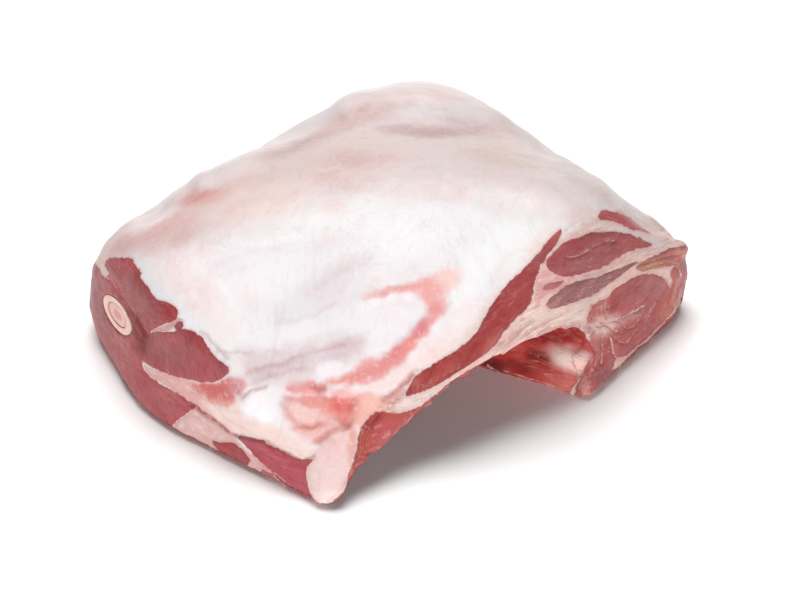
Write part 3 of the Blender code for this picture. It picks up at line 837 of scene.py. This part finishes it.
def relaxed(points, edges, rounds):
    """Evens out small steps: each round moves points towards their neighbours' mean, then back."""
    count = np.bincount(edges.ravel(), minlength=len(points))[:, None]
    for share in RELAX_STEPS * rounds:
        total = np.column_stack([
            np.bincount(edges[:, 0], points[edges[:, 1], axis], len(points))
            + np.bincount(edges[:, 1], points[edges[:, 0], axis], len(points))
            for axis in range(points.shape[1])
        ])
        points = points + share * (total / np.maximum(count, 1) - points)
    return points


def positions(builder):
    return np.array([vert.co for vert in builder.verts])


def move_to(builder, points):
    for vert, place in zip(builder.verts, points):
        vert.co = place
    builder.normal_update()


def edges_of(builder):
    builder.verts.index_update()
    return np.array([(edge.verts[0].index, edge.verts[1].index) for edge in builder.edges])


def smoothed(builder, rounds):
    """The mesh's points, evened out but not below the floor."""
    points = relaxed(positions(builder), edges_of(builder), rounds)
    points[:, 2] = np.maximum(points[:, 2], 0.0)
    return points


def smooth_lip(builder):
    """Takes the small steps out of the thin lip of the hollow."""
    points = positions(builder)
    gap = distance_to_line(seen_at(points), np.array(LIP, float))
    share = smooth_step(gap, LIP_REACH, LIP_REACH / 2)[:, None]
    move_to(builder, points + share * (smoothed(builder, LIP_ROUNDS) - points))


def ray_starts(points, normals, gap):
    return [Vector(point) + Vector(normal) * gap for point, normal in zip(points, normals)]


def in_sight(points, normals):
    """Whether nothing of the meat stands between each point and the camera."""
    starts = ray_starts(points, normals, SIGHT_START)
    return np.array([SURFACE.ray_cast(start, EYE - start)[0] is None for start in starts])


def near_edges(pixels):
    """Whether the outline of a muscle or a seam runs close by each pixel."""
    near = np.zeros(len(pixels), bool)
    for muscles in (ARM_MUSCLES, BLADE_MUSCLES, HOLLOW_MUSCLES):
        for *_, outline in muscles.values():
            near |= abs(inside_outline(pixels, outline)) < EDGE_REACH
    for seams in SEAMS.values():
        for *_, line in seams:
            near |= distance_to_line(pixels, rounded(line, closed=False)) < EDGE_REACH
    return near


def split_faces(builder, zones, edges_only=False):
    """Splits the faces that the camera sees inside any of the outlines."""
    points = np.array([face.calc_center_median() for face in builder.faces])
    normals = np.array([face.normal for face in builder.faces])
    pixels = seen_at(points)
    chosen = np.zeros(len(points), bool)
    for zone in zones:
        chosen |= distance_inside(pixels, np.array(zone, float)) > 0
    chosen &= facing(points, normals) > SHOWN
    index = np.flatnonzero(chosen)
    chosen[index] = in_sight(points[index], normals[index])
    if edges_only:
        chosen &= near_edges(pixels) | (facing(points, normals) < EDGE_ON)
    edges = {edge for face, wanted in zip(builder.faces, chosen) if wanted for edge in face.edges}
    bmesh.ops.subdivide_edges(builder, edges=list(edges), cuts=1, use_grid_fill=True)
    builder.normal_update()


def build_skin():
    """The meat's skin as a mesh under construction: even faces, and finer ones where it matters."""
    builder = bmesh.new()
    builder.from_mesh(remeshed(joined_solids()))
    move_to(builder, smoothed(builder, SMOOTH_ROUNDS))
    smooth_lip(builder)
    split_faces(builder, [MIDDLE_ZONE])
    split_faces(builder, FINE_ZONES, edges_only=True)
    move_to(builder, smoothed(builder, LAST_ROUNDS))
    return builder


def covered(points, normals):
    """Whether the meat is straight above each point: the hollow and everything underneath."""
    up = Vector((0, 0, 1))
    starts = ray_starts(points, normals, COVER_START)
    roofed = [
        normal[2] < TOPSIDE and SURFACE.ray_cast(start, up)[0] is not None
        for start, normal in zip(starts, normals)
    ]
    return np.array(roofed)


def beyond_arm(points):
    """How far each point lies behind the arm cut."""
    line = np.array(ARM_LINE)
    return points[:, 0] - np.interp(points[:, 1], line[:, 1], line[:, 0]) - ARM_LEAN * points[:, 2]


def underside_lean(points):
    """How deep in the lean each point under the shoulder is: lean with seams and islands of fat."""
    seams = UNDER_SEAM_SLOPE * np.abs(rough(points, UNDER_SEAM_GAP, 2, 5.0)) - 1.0
    islands = UNDER_DEPTH + UNDER_ISLAND_SLOPE * rough(points, UNDER_ISLAND_SIZE, 3, 6.0)
    return np.clip(np.minimum(seams, islands), -UNDER_DEPTH, UNDER_DEPTH)


def underside_colour(points):
    """The colour of the lean under the shoulder."""
    tone = smooth_step(rough(points, UNDER_TONE_SIZE, 3, 7.0), -0.4, 0.5)
    return mixed(np.tile(linear(UNDER_RED), (len(points), 1)), UNDER_DARK, 0.7 * tone)


def underside_grain(points):
    return points[:, [1, 0, 2]] * (0.25, 1.0, 1.0)


class Skin:
    """The fields of the skin: a value for each point."""

    def __init__(self, points, normals):
        self.points, self.normals = points, normals
        self.facing = facing(points, normals)
        self.pixels = seen_at(points)
        self.wavy = swayed(self.pixels, points, **WAVE)
        self.frayed = swayed(self.pixels, points, **FRAY)
        under = covered(points, normals) | (normals[:, 2] < UNDERSIDE)
        shown = self.facing > SHOWN
        self.places = {"outer": shown & ~under, "hollow": shown & under}
        self.under, self.hidden = under, ~shown & ~under
        count = len(points)
        self.lean = np.full(count, FAR_FROM_LEAN)  # millimetres inside the lean; negative in fat
        self.lean_colour = np.tile(linear(LEAN_RED), (count, 1))
        self.fat_colour = np.tile(linear(WHITE_FAT), (count, 1))
        self.web = np.full(count, FAT_WEB)  # how fibrous the fat looks, or how marbled the lean
        self.grain = self.round_grain()
        self.relief = np.zeros(count)  # metres outwards

    def round_grain(self):
        """The fat's streaks run round the top, as the shoulder's own outline does."""
        x, y = self.points[:, 0], self.points[:, 1] - GRAIN_CENTRE_Y
        angle = np.arctan2(y, x)
        out = np.hypot(x, y) + self.points[:, 2]
        return np.column_stack([out, GRAIN_ROUND * np.cos(angle), GRAIN_ROUND * np.sin(angle)])

    def tint(self, index, colour, weight, field="fat_colour"):
        colours = getattr(self, field)
        colours[index] = mixed(colours[index], colour, weight)

    def set_grain(self, index, grain, layer):
        """Stores a grain in two directions, in metres, on a layer of the noise of its own."""
        self.grain[index] = np.column_stack([grain, np.full(len(grain), layer * LAYER_GAP)])

    def add_fibre_bands(self):
        index = np.flatnonzero(self.places["outer"])
        for number, (stretch, strength, line, outline) in enumerate(FIBRE_BANDS):
            chosen = index[inside_outline(self.pixels[index], outline) > 0]
            grain = along_and_across(self.pixels[chosen], rounded(line, closed=False, rounds=2))
            self.set_grain(chosen, grain * PIXEL_MM * MM / (stretch, 1.0), BAND_LAYER + number)
            self.web[chosen] = strength

    def add_muscle(self, index, inside, places, look, layer):
        """Gives a muscle the points that lie deeper in it than in any before it, in millimetres."""
        colour, (angle, stretch), web = look
        closer = inside > self.lean[index]
        chosen = index[closer]
        self.lean[chosen] = inside[closer]
        self.lean_colour[chosen] = linear(colour)
        core = inside[closer] > MUSCLE_RIM
        self.web[chosen[core]] = web
        self.set_grain(chosen[core], turned(places[closer][core] * MM, angle, stretch), layer)

    def add_muscles(self, place, muscles):
        index = np.flatnonzero(self.places[place])
        pixels = self.frayed[index]
        for layer, (*look, outline) in enumerate(muscles.values()):
            inside = inside_outline(pixels, outline) * PIXEL_MM
            self.add_muscle(index, inside, pixels * PIXEL_MM, look, layer)

    def add_fat_over(self, place):
        index = np.flatnonzero(self.places[place])
        pixels = self.frayed[index]
        for colour, outline in FAT_OVER[place]:
            inside = inside_outline(pixels, outline) * PIXEL_MM
            self.lean[index] = np.minimum(self.lean[index], -inside)
            self.tint(index, colour, smooth_step(inside, *OVERLAY_EDGE))
        wander = 1 + SEAM_WANDER * rough(self.points[index], SEAM_WANDER_SIZE, 2, 11.0)
        for width, colour, line in SEAMS[place]:
            path = rounded(line, closed=False)
            gap = distance_to_line(pixels, path) * PIXEL_MM - width / 2 * wander
            lean = self.lean[index]
            self.relief[index] -= SEAM_DENT * np.exp(-np.maximum(gap, 0) ** 2) * (lean > 0)
            self.lean[index] = np.minimum(lean, gap)
            self.tint(index, colour, smooth_step(gap, *SEAM_EDGE))

    # Soft oval tints: stains on the lean, and in the fat and the hollow painted light and painted shade
    # too.
    def add_stains_and_painted_light(self, place, oval_patches, field):
        index = np.flatnonzero(self.places[place])
        for oval_patch in oval_patches:
            *_, colour, strength = oval_patch
            self.tint(index, colour, oval_weight(self.wavy[index], oval_patch) * strength, field)

    def add_fat_shapes(self):
        index = np.flatnonzero(self.places["outer"])
        breaks = STREAK_BREAKS * rough(self.points[index], STREAK_BREAK_SIZE, 4, 10.0)
        for colour, edge, height, outline in FAT_SHAPES:
            inside = inside_outline(self.wavy[index], outline)
            self.tint(index, colour, smooth_step(inside + breaks * (height < 0), -edge, edge))
            self.relief[index] += height * MM * smooth_step(inside, *SHAPE_RISE)

    def add_wall(self, along, muscles, towards):
        """Muscles on a hidden wall: along is the axis that runs along it, towards its outward one."""
        index = np.flatnonzero(self.hidden & (self.normals[:, towards] > WALL))
        places = self.points[index][:, [along, 2]] / MM * (1, -1)
        places = swayed(places, self.points[index], **WALL_WAVE)
        for number, ((x, z), length, height, tilt, colour) in enumerate(muscles):
            inside = (1 - oval_reach(places, (x, -z), length, height, tilt)) * min(length, height)
            look = (colour, (tilt, WALL_STRETCH), WALL_WEB)
            self.add_muscle(index, inside, places, look, WALL_LAYER + number)
        blush = smooth_step(self.points[index][:, 2], *BLUSH_HEIGHTS) * BLUSH
        self.tint(index, CUT_FAT, blush)

    def add_base_edge(self):
        """Low down on the hidden walls the lean of the underside comes round the edge."""
        index = np.flatnonzero(self.hidden)
        points = self.points[index]
        wander = rough(points, ROUND_EDGE_SWAY, 2)
        low = smooth_step(points[:, 2] + 5 * MM * wander, *ROUND_EDGE_HEIGHTS)
        turned_under = smooth_step(self.normals[index][:, 2] + 0.12 * wander, *ROUND_EDGE_TURNS)
        share = np.maximum(low, turned_under)
        self.lean[index] += share * (underside_lean(points) - self.lean[index])
        self.web[index] += share * (UNDER_WEB - self.web[index])
        self.tint(index, UNDER_FAT, share)
        share = share[:, None]
        self.lean_colour[index] += share * (underside_colour(points) - self.lean_colour[index])
        turn = share > UNDER_GRAIN_SHARE
        self.grain[index] = np.where(turn, underside_grain(points), self.grain[index])

    def add_underside(self):
        points = self.points[self.under]
        self.lean[self.under] = underside_lean(points)
        self.lean_colour[self.under] = underside_colour(points)
        self.fat_colour[self.under] = linear(UNDER_FAT)
        self.web[self.under] = UNDER_WEB
        self.grain[self.under] = underside_grain(points)

    def add_relief(self):
        points = self.points
        weight = smooth_step(self.facing, *RELIEF_FADE)
        self.relief += LEAN_RISE * smooth_step(self.lean, *LEAN_RISE_EDGE)
        self.relief += BROAD_RELIEF * rough(points, BROAD_SIZE) + FINE_RELIEF * rough(points, FINE_SIZE)
        for place in self.places.values():
            wanted = place & (weight > 0)
            for swell in SWELLS:
                height = swell[4] * MM * oval_weight(self.pixels[wanted], swell)
                self.relief[wanted] += height * weight[wanted]
        outer = np.flatnonzero(self.places["outer"])
        for width, depth, shade, line in FOLDS:
            gap = distance_to_line(self.wavy[outer] * PIXEL_MM, rounded(line, closed=False) * PIXEL_MM)
            fold = np.exp(-((gap / width) ** 2))
            self.relief[outer] -= depth * MM * fold
            for field in ("fat_colour", "lean_colour"):
                self.tint(outer, FOLD_SHADE, fold * shade, field)

    def sink_over_bone(self):
        """Dips the skin under the sawn end of the bone, which then shows in its place."""
        bone = np.array([vert.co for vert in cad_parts["arm_bone"].data.vertices])
        sawn = bone[beyond_arm(bone) < SAWN_DEPTH][:, 1:]
        outline = np.array([sawn[i] for i in convex_hull_2d([Vector(p) for p in sawn])])
        near = np.flatnonzero(beyond_arm(self.points) < CUT_DEPTH)
        inside = distance_inside(self.points[near][:, 1:], outline)
        self.relief[near] -= BONE_SINK * smooth_step(inside, *BONE_RIM)


def painted(builder):
    """Works out every field of the skin, and moves its points by the relief."""
    points = positions(builder)
    normals = np.array([vert.normal for vert in builder.verts])
    skin = Skin(points, normals)
    skin.add_fibre_bands()
    skin.add_fat_shapes()
    # The fat's tints include painted light and painted shade.
    skin.add_stains_and_painted_light("outer", FAT_STAINS_LIGHT_AND_SHADE, "fat_colour")
    skin.add_muscles("outer", ARM_MUSCLES)
    skin.add_muscles("outer", BLADE_MUSCLES)
    skin.add_wall(0, BACK_MUSCLES, 1)
    skin.add_wall(1, CHINE_MUSCLES, 0)
    skin.add_base_edge()
    skin.add_underside()
    skin.add_muscles("hollow", HOLLOW_MUSCLES)
    for place in skin.places:
        skin.add_fat_over(place)
    skin.add_stains_and_painted_light("outer", LEAN_STAINS, "lean_colour")
    # The hollow's tints include painted shade under its roof and inside the lip.
    skin.add_stains_and_painted_light("hollow", HOLLOW_STAINS_AND_SHADE, "lean_colour")
    skin.add_relief()
    skin.sink_over_bone()
    above = smooth_step(points[:, 2], *FLAT_HEIGHTS)
    relief = relaxed((skin.relief * above)[:, None], edges_of(builder), RELIEF_ROUNDS)[:, 0]
    places = points + normals * relief[:, None]
    lip = smooth_step(-points[:, 1], *MOUTH) * (points[:, 0] < 0.0)
    sag = SAG[4] * MM * oval_weight(skin.pixels, SAG) * lip
    places[:, 2] = np.maximum(places[:, 2] - sag, np.minimum(places[:, 2], 0.0))
    move_to(builder, places)
    return skin


# What each kind of field calls its values on a mesh.
FIELD_VALUES = {"FLOAT": "value", "FLOAT_VECTOR": "vector", "FLOAT_COLOR": "color"}
FIELDS = {
    "lean": "FLOAT", "web": "FLOAT", "lean_colour": "FLOAT_COLOR", "fat_colour": "FLOAT_COLOR",
    "grain": "FLOAT_VECTOR",
}


def make_shoulder():
    builder = build_skin()
    skin = painted(builder)
    mesh = bpy.data.meshes.new("shoulder")
    builder.to_mesh(mesh)
    builder.free()
    mesh.shade_smooth()
    for name, kind in FIELDS.items():
        values = getattr(skin, name)
        if kind == "FLOAT_COLOR":
            values = np.column_stack([values, np.ones(len(values))])
        stored = mesh.attributes.new(name, kind, "POINT")
        stored.data.foreach_set(FIELD_VALUES[kind], values.astype(np.float32).ravel())
    piece = linked("shoulder", mesh)
    mesh.materials.append(flesh())
    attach(piece, "root")
    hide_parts("meat")


# Materials


class Nodes:
    """A short way to wire a material's nodes."""

    def __init__(self, name):
        self.material = bpy.data.materials.new(name)
        self.material.use_nodes = True
        self.tree = self.material.node_tree
        self.shader = self.tree.nodes["Principled BSDF"]

    def join(self, value, socket):
        if isinstance(value, bpy.types.NodeSocket):
            self.tree.links.new(value, socket)
        else:
            socket.default_value = value

    def set(self, name, value):
        """Gives one input of the shader a value, or wires it up."""
        self.join(value, self.shader.inputs[name])

    def add(self, kind, settings, inputs=()):
        """A node with its settings and inputs, which go by name or number."""
        node = self.tree.nodes.new("ShaderNode" + kind)
        for key, value in settings.items():
            setattr(node, key, value)
        for key, value in dict(inputs).items():
            self.join(value, node.inputs[key])
        return node

    def field(self, name, output="Fac"):
        return self.add("Attribute", {"attribute_name": name}).outputs[output]

    def place(self):
        return self.add("TexCoord", {}).outputs["Object"]

    def noise(self, vector, size, detail=3.0, rough=0.55, warp=0.0):
        """Noise around 0.5, with bumps of a size in metres."""
        inputs = dict(Vector=vector, Scale=1 / size, Detail=detail, Roughness=rough, Distortion=warp)
        return self.add("TexNoise", {"noise_dimensions": "3D"}, inputs).outputs["Fac"]

    def ridge(self, *noise_values):
        """0 along the middle of the noise, which winds about like a thread, and more beside it."""
        return self.math("ABSOLUTE", self.sum(self.noise(*noise_values), -0.5))

    def math(self, operation, a, b=0.0):
        return self.add("Math", {"operation": operation}, {0: a, 1: b}).outputs[0]

    def sum(self, a, b):
        return self.math("ADD", a, b)

    def times(self, a, b):
        return self.math("MULTIPLY", a, b)

    def span(self, value, low, high, to_low=0.0, to_high=1.0, smooth=True):
        """Maps a range of a value to another, and clips it."""
        settings = {"interpolation_type": "SMOOTHSTEP" if smooth else "LINEAR"}
        inputs = {0: value, 1: low, 2: high, 3: to_low, 4: to_high}
        return self.add("MapRange", settings, inputs).outputs[0]

    def mix(self, share, a, b, blend="MIX"):
        settings = {"data_type": "RGBA", "blend_type": blend}
        return self.add("Mix", settings, {0: share, 6: a, 7: b}).outputs[2]

    def over(self, colour, other, value, low, high, share=1.0):
        """Lays another colour over this one, up to a share, as a value goes from low to high."""
        weight = self.span(value, low, high)
        if share != 1.0:
            weight = self.times(weight, share)
        return self.mix(weight, colour, other)

    def scaled(self, colour, *factors):
        """A colour with its red, green and blue multiplied."""
        return self.mix(1.0, colour, (*factors, 1.0), "MULTIPLY")

    def bump(self, height, distance, strength, under=None):
        inputs = {"Height": height, "Distance": distance, "Strength": strength}
        if under is not None:
            inputs["Normal"] = under
        return self.add("Bump", {}, inputs).outputs["Normal"]

    def moist(self, subsurface, radius, roughness, gloss):
        """The wet, slightly see-through surface that all parts of the meat share."""
        self.set("Subsurface Weight", subsurface)
        self.set("Subsurface Radius", (1.0, 0.45, 0.35))
        self.set("Subsurface Scale", radius)
        self.set("Coat Weight", gloss)
        self.set("Coat Roughness", 0.28)
        self.set("Specular IOR Level", 0.22)
        self.set("Roughness", roughness)


def rgba(colour):
    return (*linear(colour), 1.0)


def lean_look(nodes, place, grain, fibres, bundles, depth):
    """Dark and pale fibres in bundles, threads of marbling, and a darker rim beside the fat."""
    tone = nodes.sum(nodes.times(fibres, 0.5), nodes.times(bundles, 0.5))
    base = nodes.field("lean_colour", "Color")
    dark = nodes.scaled(base, 0.74, 0.62, 0.62)
    pale = nodes.mix(0.26, base, rgba(PALE_LEAN))
    colour = nodes.over(dark, base, tone, 0.32, 0.52)
    colour = nodes.over(colour, pale, tone, 0.52, 0.70)
    threads = nodes.span(nodes.ridge(grain, 0.0060, 4.0, 0.6, 1.0), 0.022, 0.004)
    patchy = nodes.span(nodes.noise(place, 0.016), 0.46, 0.60)
    web = nodes.times(nodes.times(threads, patchy), nodes.field("web"))
    colour = nodes.mix(nodes.times(web, 0.7), colour, rgba(MARBLING))
    return nodes.over(colour, nodes.scaled(base, 0.60, 0.45, 0.45), depth, 0.9, 0.0, 0.30)


def fat_look(nodes, place, grain, fibres, fine, depth):
    """Rosy clouds, cool streaks, wrinkles and flecks, strings where it is fibrous, a blush at the lean."""
    base = nodes.field("fat_colour", "Color")
    clouds = nodes.noise(place, 0.026, 4.0, 0.6, 0.8)
    streaks = nodes.noise(grain, 0.0050, 4.0, 0.6, 0.8)
    rosy = nodes.scaled(base, 0.975, 0.90, 0.89)
    cool = nodes.scaled(base, 0.91, 0.88, 0.90)
    bright = nodes.mix(0.5, base, rgba(BRIGHT_FAT))
    colour = nodes.over(base, rosy, clouds, 0.50, 0.72)
    colour = nodes.over(colour, cool, streaks, 0.52, 0.74, 0.7)
    colour = nodes.over(colour, rosy, fine, 0.56, 0.72, 0.30)
    colour = nodes.over(colour, bright, fine, 0.44, 0.30, 0.20)
    creases = nodes.span(nodes.ridge(place, 0.014, 5.0, 0.6, 1.2), 0.030, 0.0)
    wrinkles = nodes.times(creases, nodes.span(nodes.noise(place, 0.020), 0.44, 0.60))
    colour = nodes.mix(nodes.times(wrinkles, 0.40), colour, nodes.scaled(colour, 0.88, 0.79, 0.80))
    flecks = nodes.noise(place, 0.0030, 3.0, 0.6)
    colour = nodes.over(colour, rgba(FLECK_FAT), flecks, 0.54, 0.72, 0.32)
    fibrous = nodes.field("web")
    stringy = nodes.scaled(colour, 0.80, 0.64, 0.62)
    colour = nodes.over(colour, stringy, fibres, 0.48, 0.30, fibrous)
    colour = nodes.over(colour, rgba(STRING_FAT), fibres, 0.54, 0.70, fibrous)
    return nodes.over(colour, rgba(BLUSHING_FAT), depth, -1.5, -0.1, 0.30)


def flesh():
    """Raw lamb: lean with its grain and marbling where the lean field says so, and fat elsewhere."""
    nodes = Nodes("raw_meat")
    place, grain = nodes.place(), nodes.field("grain", "Vector")
    edge = nodes.times(nodes.sum(nodes.noise(place, 0.0022, 4.0, 0.65), -0.5), 1.8)
    depth = nodes.sum(nodes.field("lean"), edge)
    share = nodes.span(depth, -0.32, 0.32)
    fibres = nodes.noise(grain, 0.0011, 4.0, 0.65, 0.3)
    bundles = nodes.noise(grain, 0.0042, 3.0, 0.55, 0.6)
    fine = nodes.noise(grain, 0.0016, 4.0, 0.6)
    lean = lean_look(nodes, place, grain, fibres, bundles, depth)
    fat = fat_look(nodes, place, grain, fibres, fine, depth)
    dim = 1 / LIGHT_LEVEL
    nodes.set("Base Color", nodes.scaled(nodes.mix(share, fat, lean), dim, dim, dim))

    soft = nodes.bump(nodes.noise(grain, 0.005, 4.0, 0.6, 0.5), 0.8 * MM, 0.45)
    fibre_height = nodes.times(nodes.sum(fibres, nodes.times(bundles, 0.6)), share)
    nodes.set("Normal", nodes.bump(fibre_height, 0.7 * MM, 0.7, soft))
    wet = nodes.sum(fine, nodes.times(share, -0.25))
    nodes.moist(0.12, 1.8 * MM, nodes.span(wet, 0.2, 0.8, 0.36, 0.60, False), 0.08)
    return nodes.material


def distance_from_bone_axis(nodes):
    """How far out a place is in the bone's oval section: 0 in the middle, 1 at the outer edge."""
    inputs = {
        "Vector": nodes.place(),
        "Location": (0.0, *BONE_CENTRE),
        "Rotation": (BONE_TILT, 0.0, 0.0),
        "Scale": (1e6, *BONE_HALF),
    }
    local = nodes.add("Mapping", {"vector_type": "TEXTURE"}, inputs).outputs[0]
    return nodes.add("VectorMath", {"operation": "LENGTH"}, {0: local}).outputs["Value"]


def sawn_bone():
    """Cream bone, rosier and darker towards the marrow, with fine pores."""
    nodes = Nodes("sawn_bone")
    place = nodes.place()
    cloud = nodes.noise(place, 0.005, 4.0, 0.6)
    pores = nodes.noise(place, 0.0009, 3.0, 0.7)
    reach = nodes.sum(distance_from_bone_axis(nodes), nodes.times(cloud, 0.12))
    colour = nodes.over(rgba(BONE_CREAM), rgba(BONE_ROSE), cloud, 0.4, 0.65)
    colour = nodes.over(colour, rgba(BONE_INNER), reach, 0.80, 0.70, 0.7)
    colour = nodes.over(colour, rgba(BONE_PORES), pores, 0.58, 0.7, 0.5)
    nodes.set("Base Color", colour)
    nodes.set("Normal", nodes.bump(pores, 0.5 * MM, 0.5))
    nodes.moist(0.12, 1.5 * MM, 0.45, 0.1)
    return nodes.material


def marrow():
    """Soft pinkish marrow: paler round a rosy core, with red flecks."""
    nodes = Nodes("marrow")
    place = nodes.place()
    cloud = nodes.noise(place, 0.004, 4.0, 0.65)
    flecks = nodes.noise(place, 0.0012, 3.0, 0.7)
    reach = nodes.sum(distance_from_bone_axis(nodes), nodes.times(nodes.sum(cloud, -0.5), 0.35))
    colour = nodes.over(rgba(MARROW_CORE), rgba(MARROW_PALE), reach, 0.22, 0.42)
    colour = nodes.over(colour, rgba(MARROW_RIM), reach, 0.48, 0.64)
    colour = nodes.over(colour, rgba(MARROW_FLECKS), flecks, 0.58, 0.68, 0.6)
    nodes.set("Base Color", colour)
    nodes.set("Normal", nodes.bump(flecks, 0.6 * MM, 0.6))
    nodes.moist(0.2, 2.0 * MM, 0.4, 0.2)
    return nodes.material


def finish_bone():
    for name, look in (("arm_bone", sawn_bone()), ("bone_marrow", marrow())):
        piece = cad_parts[name]
        piece.data.materials.clear()
        piece.data.materials.append(look)


# The stage


FLOOR_SIZE = 6.0
FLOOR_COLOUR = (253, 253, 253)
SKY_COLOUR, SKY_STRENGTH = (1.0, 1.0, 1.0, 1.0), 0.06
CLIP_START, CLIP_END = 0.05, 20.0
LAMP_AIM = (0, 0, 0.03)
# Each lamp's place, size and power.
LAMPS = {
    "overhead": ((0.32, 0.55, 1.58), 1.3, 43.5),
    "front": ((-1.40, -1.26, 0.16), 0.30, 34.0),
    "right": ((0.49, -1.82, 0.18), 0.30, 10.0),
}


def make_floor():
    mesh = bpy.data.meshes.new("floor")
    half = FLOOR_SIZE / 2
    corners = [(-half, -half, 0), (half, -half, 0), (half, half, 0), (-half, half, 0)]
    mesh.from_pydata(corners, [], [(0, 1, 2, 3)])
    nodes = Nodes("floor")
    nodes.set("Base Color", rgba(FLOOR_COLOUR))
    nodes.set("Roughness", 0.9)
    nodes.set("Specular IOR Level", 0.1)
    mesh.materials.append(nodes.material)
    linked("floor", mesh)


def aim(thing, start, target):
    turn = (Vector(target) - Vector(start)).to_track_quat("-Z", "Y").to_matrix().to_4x4()
    thing.matrix_world = Matrix.Translation(start) @ turn


def make_lights():
    world = bpy.data.worlds.new("studio")
    world.use_nodes = True
    sky = world.node_tree.nodes["Background"]
    sky.inputs["Color"].default_value = SKY_COLOUR
    sky.inputs["Strength"].default_value = SKY_STRENGTH
    bpy.context.scene.world = world
    for name, (place, size, power) in LAMPS.items():
        light = bpy.data.lights.new(name, "AREA")
        light.size = size
        light.energy = power
        aim(linked(name, light), place, LAMP_AIM)


def make_camera():
    lens = bpy.data.cameras.new("camera")
    lens.lens = LENS_MM
    lens.sensor_width = SENSOR_MM
    lens.clip_start, lens.clip_end = CLIP_START, CLIP_END
    camera = linked("camera", lens)
    aim(camera, EYE, AIM)
    bpy.context.scene.camera = camera


make_shoulder()
finish_bone()
make_floor()
make_lights()
make_camera()
bpy.context.scene.view_settings.view_transform = "Standard"
